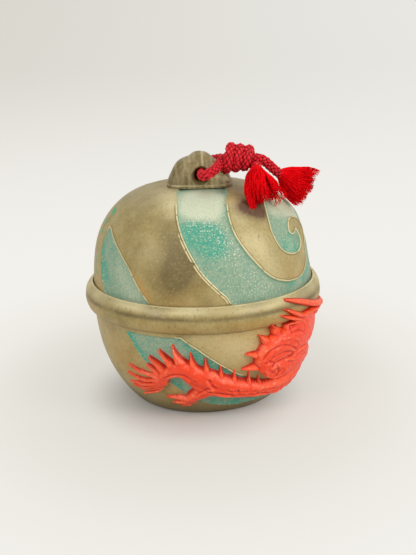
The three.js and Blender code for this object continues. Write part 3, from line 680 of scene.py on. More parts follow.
class Graph:
    """The node tree of one material."""

    def __init__(self, name: str) -> None:
        """Makes a material of that name with an empty tree."""
        self.material = bpy.data.materials.new(name)
        self.material.use_nodes = True
        self.tree = self.material.node_tree
        self.tree.nodes.clear()
        self.places = self.node("ShaderNodeTexCoord", {}, {}).out("Object")

    def node(self, kind: str, settings: dict[str, Any], sockets: dict[int | str, Any]) -> Made:
        """Makes one node.

        Args:
            kind: The node's type.
            settings: Its settings, set first.
            sockets: The values or links of its inputs, by name or place.

        Returns:
            The node.
        """
        node = self.tree.nodes.new(kind)
        for name, value in settings.items():
            setattr(node, name, value)
        for name, value in sockets.items():
            if isinstance(value, Socket):
                self.tree.links.new(value.socket, node.inputs[name])
            else:
                node.inputs[name].default_value = value
        return Made(self, node)

    def mark(self, name: str) -> Socket:
        """The numbers painted on the piece's points under a name."""
        return self.node("ShaderNodeAttribute", {"attribute_name": name}, {}).out("Fac")

    def noise(self, scale: float, detail: float, rough: float, stretch: Row = (1, 1, 1)) -> Socket:
        """Soft noise from 0 to 1 about the piece's own places.

        Args:
            scale: Lumps to a metre.
            detail: How many finer layers are added.
            rough: How strong the finer layers are.
            stretch: How much closer the lumps are along each axis.

        Returns:
            The noise.
        """
        places = self.places
        if stretch != (1, 1, 1):
            places = self.node("ShaderNodeMapping", {}, {"Vector": places, "Scale": stretch}).out()
        sockets = {"Vector": places, "Scale": scale, "Detail": detail, "Roughness": rough}
        return self.node("ShaderNodeTexNoise", {}, sockets).out("Fac")

    def specks(self, scale: float) -> Socket:
        """Distances to scattered points, 0 at each, with so many to a metre."""
        return self.node("ShaderNodeTexVoronoi", {}, {"Vector": self.places, "Scale": scale}).out("Distance")

    def mix(self, share: Any, first: Any, second: Any) -> Socket:
        """One colour going over to another by a share from 0 to 1."""
        settings = {"data_type": "RGBA", "clamp_factor": True}
        return self.node("ShaderNodeMix", settings, {0: share, 6: first, 7: second}).out(2)

    def coats(self, colour: Any, *layers: tuple[Any, Any]) -> Socket:
        """A colour with others laid over it in turn, each by its share."""
        for share, over in layers:
            colour = self.mix(share, colour, over)
        return colour

    def bump(self, height: Socket, distance: float, strength: float, under: Socket | None = None) -> Socket:
        """A normal from a height in 0..1 times a distance in metres, over another normal."""
        sockets = {"Height": height, "Distance": distance, "Strength": strength}
        if under is not None:
            sockets["Normal"] = under
        return self.node("ShaderNodeBump", {}, sockets).out()

    def finish(self, **sockets: Any) -> Material:
        """Ends the tree in one Principled shader with these sockets, and gives the material."""
        named = {name.replace("_", " "): value for name, value in sockets.items()}
        shader = self.node("ShaderNodeBsdfPrincipled", {}, named).out()
        self.node("ShaderNodeOutputMaterial", {}, {"Surface": shader})
        return self.material


@dataclass(frozen=True)
class BronzePaint:
    """Satin bronze paint over clay, with green and cream in the sunk fields and pale worn rims."""

    middle: Row = paint(166, 146, 90)
    light: Row = paint(208, 194, 146)
    dark: Row = paint(98, 82, 42)
    warm: Row = paint(184, 142, 68)
    grey: Row = paint(158, 146, 114)
    brown: Row = paint(88, 54, 42)
    rim: Row = paint(232, 218, 168)
    sage: Row = paint(138, 165, 138)
    dusk: Row = paint(96, 146, 124)
    gold: Row = paint(184, 180, 142)
    teal: Row = paint(38, 156, 130)
    cream: Row = paint(206, 210, 180)
    speck: Row = paint(232, 232, 208)
    green: Row = paint(44, 166, 112)
    roughness: float = 0.5
    metallic: float = 0.22

    def bronze(self, graph: Graph) -> Socket:
        """The bronze alone: clouds of light, dark, warm and grey, with a fine mottling."""
        cloud = graph.noise(140, 4, 0.6)
        fine = graph.noise(1300, 4, 0.7)
        pits = graph.noise(900, 1, 0.5).step(0.31, 0.24)
        # Of the marked tints, pale is painted highlight, dark is painted shade and reflection, and brown is a
        # painted shadow and reflection under the tassel; grey and warm are the paint's own tone.
        tints = (
            ("grey", 0.7, self.grey), ("warm", 0.75, self.warm), ("pale", 0.9, self.light),
            ("dark", 0.8, self.dark), ("brown", 0.9, self.brown),
        )
        return graph.coats(
            self.middle,
            (cloud.step(0.4, 0.68) * 0.25, self.light),
            (cloud.step(0.5, 0.28) * 0.3, self.dark),
            *((graph.mark(name).least(1.0) * strength, tint) for name, strength, tint in tints),
            (fine.step(0.52, 0.72) * 0.28, self.light),
            (fine.step(0.48, 0.3) * 0.34, self.dark),
            (pits * 0.4, self.brown),
        )

    def field_colour(self, graph: Graph, inside: Socket) -> Socket:
        """The paint of a sunk field: sage, teal where it lies thick and by the edges, cream and specks."""
        cloud = graph.noise(330, 4, 0.65)
        fine = graph.noise(1700, 3, 0.7)
        grain = graph.noise(2300, 2, 0.7)
        strokes = graph.noise(700, 3, 0.6, (1.0, 1.0, 0.35))
        cream = graph.mark("cream") * (0.75 + cloud * 0.5)
        by_edge = inside.step(0.75, 0.15) * 0.35
        teal = graph.mark("teal") * (0.45 + strokes * 1.1) + by_edge + (cloud - 0.5) * 0.7
        busy = 1 - cream.least(1.0) * 0.4
        size = graph.mark("specks").least(1.0) * 0.2 + 0.05 + (cloud - 0.5) * 0.2
        specks = (graph.specks(1250) - size * 0.9).step(0.1, 0.0)
        return graph.coats(
            self.sage,
            (cloud.step(0.35, 0.65) * 0.5, self.dusk),
            (teal.step(0.1, 0.9) * 0.95, self.teal),
            ((cream + (fine - 0.5) * 0.7).step(0.1, 0.9) * 0.95, self.cream),
            (fine.step(0.5, 0.64) * busy * 0.62, self.gold),
            (fine.step(0.47, 0.35) * busy * 0.5, self.dusk),
            (grain.step(0.48, 0.34) * 0.3, self.sage),
            (grain.step(0.55, 0.7) * 0.35, self.cream),
            (specks * (0.2 + grain * 0.7), self.speck),
        )

    def dress(self, name: str, fields: bool) -> Material:
        """Makes the paint.

        Args:
            name: The material's name.
            fields: Whether the piece carries sunk fields.

        Returns:
            The material.
        """
        graph = Graph(name)
        fine = graph.noise(2600, 2, 0.6)
        worn = graph.noise(800, 3, 0.6)
        colour = self.bronze(graph)
        painted: Any = 0.0
        line, gap = graph.mark("line"), graph.mark("shaded_groove")
        if fields:
            inside = graph.mark("inside")
            out = 0 - inside
            one, two = graph.mark("single"), graph.mark("double")
            beside = out.within(0.0, 0.4)
            line = line + beside * one.most(two) + out.within(0.68, 1.14) * two
            # The dark gaps between and beside the raised rim lines are painted shade.
            gap = gap + out.within(0.44, 0.64) * two + out.within(0.44, 0.8) * one * 0.5
            painted = (inside + (worn - 0.5) * 0.16).step(-0.06, 0.08)
            by_edge = inside.within(0.04, 0.3) * one.most(two) * 0.35
            colour = graph.coats(colour, (painted, self.field_colour(graph, inside)), (by_edge, self.dusk))
        # Pale rim lines, painted shade in the gaps and grooves, and green dabs.
        colour = graph.coats(
            colour,
            (line.least(1.0) * worn.step(0.32, 0.46) * 0.92, self.rim),
            (gap.least(1.0) * 0.8, self.dark),
            (graph.mark("green").least(1.0), self.green),
        )
        normal = graph.bump(graph.noise(900, 4, 0.6), 0.00016, 0.5)
        normal = graph.bump(fine, 0.00006, 0.5, normal)
        normal = graph.bump(line - gap * 0.6, 0.00014, 0.8, normal)
        rough = self.roughness + (fine - 0.5) * 0.25 + painted * 0.1
        metal = self.metallic * (1 - painted * 0.9) if fields else self.metallic
        return graph.finish(Base_Color=colour, Roughness=rough, Metallic=metal, Normal=normal)


@dataclass(frozen=True)
class VermilionPaint:
    """Opaque orange-red brushed over the sprigs, lighter on the crests as wear and painted highlight, and
    darker in the grooves as painted shade.
    """

    middle: Row = paint(242, 62, 16)
    crest: Row = paint(252, 102, 56)
    deep: Row = paint(168, 20, 6)
    chip: Row = paint(236, 196, 160)
    roughness: float = 0.4

    def dress(self, name: str) -> Material:
        """Makes the paint under a name."""
        graph = Graph(name)
        cloud = graph.noise(300, 4, 0.65)
        fine = graph.noise(1500, 3, 0.65)
        crest, shaded_hollow = graph.mark("crest"), graph.mark("shaded_hollow")
        # Pale flecks on the crests: chipped paint and painted glints.
        chips = graph.noise(1100, 2, 0.5).step(0.62, 0.7) * crest.step(0.35, 0.8)
        # Crests lighter as wear and painted highlight, hollows deeper as painted shade.
        colour = graph.coats(
            self.middle,
            ((crest + (cloud - 0.5) * 0.9).step(0.1, 1.0) * 0.7, self.crest),
            ((shaded_hollow + (cloud - 0.5) * 0.3).step(0.15, 0.95) * 0.8, self.deep),
            (fine.step(0.58, 0.74) * 0.3, self.crest),
            (fine.step(0.42, 0.28) * 0.3, self.deep),
            (chips * 0.55, self.chip),
        )
        normal = graph.bump(graph.noise(1000, 4, 0.6), 0.00026, 0.75)
        rough = self.roughness + (fine - 0.5) * 0.3 + shaded_hollow * 0.15
        return graph.finish(Base_Color=colour, Roughness=rough, Normal=normal)


@dataclass(frozen=True)
class FiredClay:
    """Bare fired clay, a little gritty."""

    middle: Row = paint(178, 132, 98)
    dark: Row = paint(128, 86, 60)
    light: Row = paint(206, 170, 136)

    def dress(self, name: str) -> Material:
        """Makes the clay under a name."""
        graph = Graph(name)
        cloud = graph.noise(260, 4, 0.6)
        grit = graph.noise(2400, 2, 0.6)
        colour = graph.coats(
            self.dark,
            (cloud.step(0.35, 0.7), self.middle),
            (grit.step(0.6, 0.75) * 0.6, self.light),
            (grit.step(0.38, 0.25) * 0.5, self.dark),
        )
        normal = graph.bump(grit, 0.00012, 0.7)
        return graph.finish(Base_Color=colour, Roughness=0.86 - cloud * 0.12, Normal=normal)


@dataclass(frozen=True)
class BraidThread:
    """Crimson silky thread plaited into a round cord, with painted shade between the plies and painted
    highlights on their crowns.
    """

    middle: Row = paint(226, 4, 26)
    light: Row = paint(252, 52, 68)
    deep: Row = paint(66, 0, 8)

    def dress(self, name: str) -> Material:
        """Makes the thread under a name."""
        graph = Graph(name)
        ply, fibre = graph.mark("ply"), graph.mark("fibre")
        wave = graph.node("ShaderNodeMath", {"operation": "SINE"}, {0: fibre * 44.0}).out()
        hair = graph.noise(2600, 2, 0.6)
        # Deep between the plies is painted shade, and light on their crowns painted highlight.
        colour = graph.coats(
            self.deep,
            (ply.step(0.18, 0.72), self.middle),
            (ply.step(0.6, 1.0) * (0.1 + hair * 0.9), self.light),
            (wave.step(0.1, -0.9) * 0.3, self.deep),
        )
        normal = graph.bump(wave * 0.5 + hair, 0.00007, 0.8)
        rough = 0.44 + (hair - 0.5) * 0.3 + (1 - ply) * 0.2
        return graph.finish(Base_Color=colour, Roughness=rough, Normal=normal, Specular_IOR_Level=0.3)


@dataclass(frozen=True)
class CombedThread:
    """The same thread combed out into a tassel, scarlet outside and painted deep red inside as shade among the
    strands.
    """

    middle: Row = paint(234, 2, 10)
    light: Row = paint(255, 14, 30)
    deep: Row = paint(150, 0, 2)

    def dress(self, name: str) -> Material:
        """Makes the thread under a name."""
        graph = Graph(name)
        tone, out = graph.mark("tone"), graph.mark("outside")
        hair = graph.noise(1500, 3, 0.6)
        # Deep red inside is painted shade among the strands.
        colour = graph.coats(
            self.deep,
            (out.step(0.1, 0.9), self.middle),
            ((tone * 0.9 + (hair - 0.5)).step(0.45, 0.95) * 0.8, self.light),
            ((tone + (hair - 0.5) * 0.4).step(0.3, 0.0) * 0.6, self.deep),
        )
        normal = graph.bump(hair, 0.00005, 0.5)
        rough = 0.72 - tone * 0.08
        return graph.finish(Base_Color=colour, Roughness=rough, Normal=normal, Specular_IOR_Level=0.06)


@dataclass(frozen=True)
class Strip:
    """A strip of modelled clay. Each station is longitude, latitude, half width and rise, the last two in
    millimetres. The power squares its section, the lean moves its crest to one side, and the blend is how
    widely it is worked into its neighbours. It stands on a base, and beyond its edge it falls away."""

    stations: Rows
    power: float = 3.0
    lean: float = 0.0
    blend: float = 0.5
    base: float = 0.25
    fall: float = 3.2
    least_half: float = 0.12

    def height(self, points: Array) -> tuple[Array, Array, Array]:
        """The strip's height over points that it may cover.

        Args:
            points: Points (n, 3) on the seat, in millimetres.

        Returns:
            The height in millimetres, then the millimetres along the strip and across it. The height is
            base + rise * (1 - |across|^power)^(1 / 2) inside, and falls steeply outside.
        """
        curve = smoothed(self.stations, 8)
        line = Line(FORM.place(curve[:, 0], curve[:, 1], 0, True))
        distance, along, side = line.nearest(points)
        low = np.clip(along.astype(int), 0, len(curve) - 2)
        share = along - low
        half = np.maximum(curve[low, 2] * (1 - share) + curve[low + 1, 2] * share, self.least_half)
        rise = curve[low, 3] * (1 - share) + curve[low + 1, 3] * share
        lengths = run_lengths(line.places)
        run = lengths[low] * (1 - share) + lengths[low + 1] * share
        across = side * distance / half
        leant = across - self.lean * (1 - across**2)
        dome = np.maximum(1 - np.abs(leant) ** self.power, 0) ** 0.5
        beyond = self.base - self.fall * (distance - half)
        return np.where(np.abs(across) < 1, self.base + rise * dome, beyond), run, side * distance


@dataclass(frozen=True)
class Sprig:
    """A piece of relief: strips of clay worked into each other on the bell, then marked with a tool. Each
    mark is its half width and rise in millimetres, sunk where the rise is negative, and its places. The
    skirt is how deep the edge is tucked in, and bare is the height where there is no clay. The two reaches
    are the bell's own, for the grid's spacing and for telling what is near."""

    name: str
    nodes: tuple[str, ...]
    strips: tuple[Strip, ...]
    marks: tuple[tuple[float, float, Rows], ...] = ()
    pitch: float = 0.2
    skirt: float = 0.95
    brushed: float = 0.11
    bare: float = -5.0
    most_reach: float = 38.0
    least_reach: float = 34.0

    def build(self, material: Material) -> Thing:
        """Makes the piece.

        The heights of all strips are joined over a grid of longitude and latitude: the larger height wins,
        with the creases filled. Marks add rise * exp(-(distance / half width)^2), and the brush adds lumps
        drawn out along each strip. Cells that lie wholly under the clay are left out, and a second sheet
        inside the wall closes the piece.

        Args:
            material: Its finish.

        Returns:
            The piece.
        """
        rows = np.concatenate([np.array(strip.stations) for strip in self.strips])
        reach = self.most_reach
        tall = np.degrees((rows[:, 2] + 1.2) / reach)
        wide = tall / np.cos(np.radians(rows[:, 1]))
        west, east = (rows[:, 0] - wide).min(), (rows[:, 0] + wide).max()
        south, north = (rows[:, 1] - tall).min(), (rows[:, 1] + tall).max()
        middle = math.cos(math.radians((south + north) / 2))
        columns = int(math.radians(east - west) * reach * middle / self.pitch)
        lines = int(math.radians(north - south) * reach / self.pitch)
        grid = np.meshgrid(np.linspace(west, east, columns), np.linspace(south, north, lines))
        lon, lat = (degrees.ravel() for degrees in grid)
        seat = FORM.place(lon, lat, 0, True)
        height = np.full(len(seat), self.bare)
        brush = np.zeros(len(seat))
        for strip in self.strips:
            near = self._near(np.array(strip.stations), lon, lat)
            own = np.full(len(seat), self.bare)
            own[near], run, flank = strip.height(seat[near])
            drawn = lumps(np.stack([run * 0.3, flank, np.zeros(len(run))], -1), 0.9, 7)
            brush[near] = np.where(own[near] > height[near], drawn, brush[near])
            height = crease_max(height, own, strip.blend)
        solid = eased(height, 0.2, 0.9)
        for half, rise, places in self.marks:
            line = Line.through(places, 8, True)
            near = self._near(np.array(places), lon, lat)
            distance = line.nearest(seat[near])[0]
            height[near] += rise * swell(distance, 0, half) * solid[near]
        brush = self.brushed * brush + 0.1 * lumps(seat, 2.4, 5)
        height = height + solid * (brush + 0.04 * lumps(seat, 0.8, 6))
        height = np.clip(height, -self.skirt, None).reshape(lines, columns)
        return self._close(lon, lat, height, material)

    def _near(self, rows: Array, lon: Array, lat: Array) -> Array:
        """Which places are within a half width and 3 degrees of rows of longitude, latitude, half width."""
        half = rows[:, 2].max() if rows.shape[1] > 2 else 1
        margin = np.degrees(half / self.least_reach) + 3
        wide = margin / np.cos(np.radians(np.abs(rows[:, 1]).max()))
        return (
            (lon > rows[:, 0].min() - wide) & (lon < rows[:, 0].max() + wide)
            & (lat > rows[:, 1].min() - margin) & (lat < rows[:, 1].max() + margin)
        )

    def _close(self, lon: Array, lat: Array, height: Array, material: Material) -> Thing:
        """Closes the height grid with a sheet inside the wall, marks crests, lightened as wear and painted
        highlight, and hollows, darkened as painted shade, makes the piece.
        """
        lines, columns = height.shape
        index = np.arange(lines * columns).reshape(lines, columns)
        corners = np.stack([index[:-1, :-1], index[:-1, 1:], index[1:, 1:], index[1:, :-1]], -1)
        flat = height.ravel()
        kept = flat[corners].max(-1) > -self.skirt + 0.01
        padded = np.pad(kept, 1)
        walls = []
        for row, column, a, b in ((-1, 0, 0, 1), (0, 1, 1, 2), (1, 0, 2, 3), (0, -1, 3, 0)):
            beside = padded[1 + row : row + lines, 1 + column : column + columns]
            edge = corners[kept & ~beside]
            walls.append(np.stack([edge[:, b], edge[:, a]], -1))
        used = np.unique(corners[kept])
        renumber = np.full(lines * columns, -1)
        renumber[used] = np.arange(len(used))
        count = len(used)
        outer = FORM.place(lon[used], lat[used], flat[used], True)
        inner = FORM.place(lon[used], lat[used], np.full(count, -self.skirt - 0.5), True)
        face, rim = renumber[corners[kept]], renumber[np.concatenate(walls)]
        quads = np.concatenate([face, face[:, ::-1] + count, np.concatenate([rim, rim[:, ::-1] + count], 1)])
        crest, shaded_hollow = self._relief(height)
        marks = {
            "crest": np.concatenate([crest.ravel()[used], np.zeros(count)]),
            "shaded_hollow": np.concatenate([shaded_hollow.ravel()[used], np.ones(count)]),
        }
        skin = Skin(np.concatenate([outer, inner]), quads, marks=marks).turned_out()
        return make_piece(self.name, skin, material, Body.BELL, Slot.VERMILION, *self.nodes)

    @staticmethod
    def _relief(height: Array) -> tuple[Array, Array]:
        """Crests and hollows: the height less its own local mean, scaled to 0..1 each way."""
        passes, full_crest, full_hollow = 8, 0.14, 0.18
        soft = np.clip(height, -0.2, None)
        mean = soft.copy()
        for _ in range(passes):
            padded = np.pad(mean, 1, mode="edge")
            mean = (padded[:-2, 1:-1] + padded[2:, 1:-1] + padded[1:-1, :-2] + padded[1:-1, 2:] + mean) / 5
        rise = soft - mean
        return np.clip(rise / full_crest, 0, 1), np.clip(-rise / full_hollow, 0, 1)


def fin(half: float, rise: float, *places: Row, taper: float = 1.15) -> Strip:
    """A spine, wisp or claw that narrows along its places, root first.

    Args:
        half: Half the width at the root, in millimetres.
        rise: The height at the root, in millimetres.
        places: Rows of (longitude, latitude).
        taper: How it narrows: above 1 for a thorn, below 1 for a finger.

    Returns:
        The strip. At a share s of the way its half width is half * (1 - s)^taper.
    """
    shares = np.linspace(0, 1, len(places))
    wide, tall = half * (1 - shares) ** taper, rise * (1 - 0.6 * shares**2)
    rows = [(lon, lat, float(w), float(h)) for (lon, lat), w, h in zip(places, wide, tall)]
    return Strip(tuple(rows), power=2.2, lean=0.15, blend=0.22)


@dataclass(frozen=True)
class Shells:
    """The two pressed halves of the bell, with their sunk fields, rims and hand-pressed lumps. A field is
    looked for within a margin of degrees beside it, and everywhere above the crown's latitude."""

    columns: int = 580
    dome_rows: int = 150
    bowl_rows: int = 112
    inner_rows: int = 10
    front_crowding: float = 0.35
    field_depth: float = 0.6
    rim_rise: float = 0.35
    lump: float = 0.1
    margin: float = 6.0
    crown: float = 72.0
    band_middle: float = 0.66
    slot_length: float = 28.0
    slot_width: float = 5.6
    slot_end: float = 4.0

    def _longitudes(self) -> Array:
        """Longitudes round the bell, closer in front: s - k sin(s)."""
        s = np.linspace(-math.pi, math.pi, self.columns, endpoint=False)
        return np.degrees(s - self.front_crowding * np.sin(s))

    def _painted(
        self, lon: Array, lat: Array, fields: Sequence[tuple[SunkField, bool]]
    ) -> tuple[Array, dict[str, Array]]:
        """The relief and the painted marks over places on the body.

        Args:
            lon: Longitudes of a grid.
            lat: Latitudes of the grid.
            fields: Each sunk field with whether it is the narrower one behind.

        Returns:
            The lift in millimetres, and the marks. Inside a field the lift is -depth, with a soft edge, and
            beside a rim it is rise * exp(-(distance / width)^2).
        """
        flat_lon, flat_lat = lon.ravel(), lat.ravel()
        points = FORM.place(flat_lon, flat_lat)
        inside = np.full(len(points), -FAR)
        rims = [np.full(len(points), FAR), np.full(len(points), FAR)]
        behind = (flat_lon % 360 - 180) * BACK_SQUEEZE
        for sunk, at_back in fields:
            own = behind if at_back else flat_lon
            turned = FORM.place(own, flat_lat)
            corners = np.array(sunk.rows)
            sides = corners[:, [0, 2]]
            near = (own > sides.min() - self.margin) & (own < sides.max() + self.margin)
            near |= (flat_lat > self.crown) & (np.abs(own) < 180)
            away, *lines = sunk.distance(own[near], flat_lat[near], turned[near])
            inside[near] = np.maximum(inside[near], away)
            for rim, line in zip(rims, lines):
                rim[near] = np.minimum(rim[near], line)
        clear = eased(np.abs(flat_lat - self.band_middle), 7.2, 8.4)
        single, double = (clear * (1 - eased(rim, 1.3, 2.2)) for rim in rims)
        lift = -self.field_depth * eased(inside, -0.12, 0.5)
        lift = lift + self.rim_rise * double * swell(inside, -0.6, 0.55)
        lift = lift + self.rim_rise * single * 0.8 * swell(inside, -0.2, 0.4)
        lift = lift + self.lump * lumps(points, 11, 3) * eased(90 - np.abs(flat_lat), 2, 20)
        lift = lift + 0.035 * lumps(points, 2.2, 4) * eased(inside, 0.2, 0.8)
        back = FORM.place(behind, flat_lat)
        marks = {}
        for name, rows in TONES.items():
            upper = tuple(row for row in rows if row[1] > 8)
            marks[name] = clouds(rows, points) + clouds(upper, back) * (np.abs(behind) < 120)
        # Painted shade: darker towards the bottom of the bowl.
        marks["dark"] = marks["dark"] + 0.95 * eased(-flat_lat, 38, 56)
        marks["inside"] = np.clip(inside, -5, 5)
        marks["single"], marks["double"] = single, double
        marks["green"] = dabs(GREEN_DABS, points)
        return lift, marks

    def build_dome(self, material: Material) -> Thing:
        """Makes the upper half: rows of latitude from the seam to the pole, then down the inner wall."""
        lon = self._longitudes()
        lowest = math.degrees(math.asin(FORM.joint / 2 / FORM.radius))
        lat = np.linspace(lowest, 90, self.dome_rows, endpoint=False)
        grid_lon, grid_lat = np.meshgrid(lon, lat)
        fields = [(sunk, at_back) for sunk in (WHIRL_FIELD, WEDGE_FIELD) for at_back in (False, True)]
        lift, marks = self._painted(grid_lon, grid_lat, fields)
        outer = FORM.place(grid_lon.ravel(), grid_lat.ravel(), lift)
        return self._join(outer, self._inner(lon, True), marks, material)

    def _inner(self, lon: Array, up: bool) -> Array:
        """The inner wall's rings from the seam inwards, a superellipse offset by the wall."""
        end = 90 if up else 62
        lat = np.linspace(0.3, end, self.inner_rows, endpoint=not up)
        grid_lon, grid_lat = np.meshgrid(lon, lat)
        rise = (FORM.dome_rise if up else FORM.seam) - FORM.wall
        power = FORM.dome_power if up else FORM.bowl_power
        reach = FORM.superellipse(grid_lat, FORM.radius - FORM.wall, rise, power)
        turn, tilt = np.radians(grid_lon), np.radians(grid_lat)
        height = reach * np.sin(tilt)
        z = np.maximum(FORM.seam + height, FORM.seam + FORM.joint / 2)
        if not up:
            z = np.minimum(FORM.seam - height, FORM.seam - FORM.joint / 2)
        return round_axis(reach * np.cos(tilt), turn, z)

    def _join(self, outer: Array, inner: Array, marks: dict[str, Array], material: Material) -> Thing:
        """Joins the dome's outside and inside at the seam, with a pole at the end of each."""
        rows = self.dome_rows
        rings = np.concatenate([inner[::-1].reshape(-1, 3), outer])
        count = len(rings)
        low, high = inner[-1].mean(0), outer[-self.columns :].mean(0)
        low[2] = FORM.seam + FORM.dome_rise - FORM.wall
        high[2] = FORM.seam + FORM.dome_rise
        points = np.concatenate([rings, low[None], high[None]])
        quads = ring_quads(self.inner_rows + rows, self.columns)
        triangles = np.concatenate([
            pole_triangles(0, self.columns, count)[:, ::-1],
            pole_triangles(count - self.columns, self.columns, count + 1),
        ])
        pad = self.inner_rows * self.columns
        kept = {key: np.concatenate([np.zeros(pad), own, [0, own[-1]]]) for key, own in marks.items()}
        kept["inside"][:pad] = -5
        skin = Skin(points, quads, triangles, kept).turned_out()
        return make_piece("upper_shell_clay", skin, material, Body.BELL, Slot.BRONZE, "upper_shell")

    def _slot_outline(self) -> Array:
        """The sound slot's outline, one point to a column: a straight slot with a round hole at each end.

        Returns:
            Points (columns, 2), evenly spaced along the outline and matched to the bell's longitudes.
        """
        half, width, end = self.slot_length / 2, self.slot_width / 2, self.slot_end
        opening = math.asin(width / end)
        arc = np.linspace(-math.pi + opening, math.pi - opening, 40)
        right = np.stack([half + end * np.cos(arc), end * np.sin(arc)], -1)
        outline = np.concatenate([right, -right, right[:1]])
        lengths = run_lengths(outline)
        start = lengths[20]
        share = (self._longitudes() - 90) / 360
        wanted = (start + share * lengths[-1]) % lengths[-1]
        return np.stack([np.interp(wanted, lengths, outline[:, i]) for i in (0, 1)], -1)

    def build_bowl(self, material: Material) -> Thing:
        """Makes the lower half: down the outside, across the base to the slot, and back up the inner wall."""
        lon = self._longitudes()
        highest = -math.degrees(math.asin(FORM.joint / 2 / FORM.radius))
        corner = -math.degrees(math.atan2(FORM.seam, FORM.base_radius))
        lat = np.linspace(highest, corner, self.bowl_rows)
        grid_lon, grid_lat = np.meshgrid(lon, lat)
        lift, marks = self._painted(grid_lon, grid_lat, [(BOWL_FIELD, False)])
        lift = lift * eased(grid_lat.ravel() - corner, 0.0, 3.0)
        outer = FORM.place(grid_lon.ravel(), grid_lat.ravel(), lift).reshape(self.bowl_rows, -1, 3)
        outer = self._soft_corner(outer)
        slot = self._slot_outline()
        edge = outer[-1]
        rings = [outer]
        for share in (0.03, 0.08, 0.3, 0.6, 0.9, 1.0):
            rings.append(at_height(edge[:, :2] * (1 - share) + slot * share, 0.0)[None])
        for height in (0.4, 2.2, FORM.wall - 0.3, FORM.wall):
            rings.append(at_height(slot, height)[None])
        inner = self._inner(lon, False)[::-1]
        floor = inner[0]
        for share in (0.35, 0.7):
            rings.append((at_height(slot, FORM.wall) * (1 - share) + floor * share)[None])
        rings.append(inner)
        whole = np.concatenate(rings)
        rows = len(whole)
        pad = (rows - self.bowl_rows) * self.columns
        kept = {key: np.concatenate([values, np.zeros(pad)]) for key, values in marks.items()}
        kept["inside"][self.bowl_rows * self.columns :] = -5
        quads = ring_quads(rows, self.columns, True)
        skin = Skin(whole.reshape(-1, 3), quads, marks=kept).turned_out()
        return make_piece("lower_shell_clay", skin, material, Body.BELL, Slot.BRONZE, "lower_shell")

    @staticmethod
    def _soft_corner(outer: Array) -> Array:
        """Rounds the corner at the base: the last rows are pulled in by the square of their closeness."""
        height, pull = 1.2, 0.022
        near = eased(height - outer[..., 2], 0.0, height)
        shrink = 1 - pull * near**2
        outer[..., 0] *= shrink
        outer[..., 1] *= shrink
        outer[..., 2] = np.maximum(outer[..., 2], 0)
        return outer


@dataclass(frozen=True)
class EquatorBand:
    """The half-round band laid over the seam, painted lighter along its top as painted light and darker below
    and along its middle as painted shade.
    """

    columns: int = 640
    rows: int = 44
    lump: float = 0.09
    edge_thickness: float = 0.45

    def build(self, material: Material) -> Thing:
        """Makes the band: radius + proud cos(t) and middle + half height sin(t), closed by an inner wall."""
        lon = np.linspace(-math.pi, math.pi, self.columns, endpoint=False)
        t = np.linspace(-math.pi / 2, math.pi / 2, self.rows)
        grid_lon, grid_t = np.meshgrid(lon, t)
        inner = FORM.radius + FORM.joint
        reach = np.maximum(FORM.radius + FORM.band_proud * np.cos(grid_t), inner + self.edge_thickness * 0.2)
        z = FORM.seam + FORM.band_offset + FORM.band_height / 2 * np.sin(grid_t)
        points = round_axis(reach, grid_lon, z)
        press = self.lump * (lumps(points, 9, 11) - 0.9) * np.cos(grid_t)
        reach = reach + np.minimum(press, 0) - 0.12 * swell(grid_t, 0.2, 0.2)
        points = round_axis(reach, grid_lon, z)
        wall = [round_axis(inner, lon, np.full(len(lon), height))[None] for height in (z[-1, 0], z[0, 0])]
        rings = np.concatenate([points, *wall])
        flat, across = points.reshape(-1, 3), grid_t.ravel()
        top_line = swell(across, 1.3, 0.07) * (0.8 + 0.3 * lumps(flat, 4, 12))
        low_line = swell(across, -1.3, 0.06) * (0.5 + 0.4 * lumps(flat, 3, 13))
        middle_shade = swell(across, 0.2, 0.17) * (0.8 + 0.25 * lumps(flat, 6, 16))
        worn = self._worn(grid_lon.ravel()) * eased(np.sin(across), 0.0, 0.6)
        # Pale is painted light on the top; dark is painted shade on the underside and along the middle groove;
        # the creases at both edges are painted dark as shade.
        marks = {
            "line": np.clip(top_line + low_line, 0, 1),
            "pale": eased(across, 0.35, 0.85) * (0.8 + 0.3 * lumps(flat, 7, 14)) * (1 - 0.5 * worn),
            "warm": np.clip(0.4 + 0.4 * lumps(flat, 12, 15), 0, 1) * eased(across, 0.1, -0.3),
            "dark": eased(across, -0.95, -1.35) * 0.6 + np.clip(middle_shade, 0, 1),
            "grey": worn * (1 + 0.5 * lumps(flat * np.array([1, 1, 3]), 2.2, 17)),
            "shaded_groove": eased(np.abs(across), 1.42, 1.55),
        }
        pad = np.zeros(2 * self.columns)
        kept = {key: np.concatenate([values, pad]) for key, values in marks.items()}
        skin = Skin(rings.reshape(-1, 3), ring_quads(len(rings), self.columns, True), marks=kept).turned_out()
        return make_piece("equator_band_clay", skin, material, Body.BELL, Slot.BRONZE, "equator_band")

    @staticmethod
    def _worn(turn: Array) -> Array:
        """Greyish rubbed places: a middle, a width and a strength for each, added up."""
        places = ((25.5, 8, 1.0), (-25, 6, 0.8), (-60, 12, 0.5), (60, 14, 1.2), (150, 20, 0.6))
        return sum(strength * swell(np.degrees(turn), middle, wide) for middle, wide, strength in places)


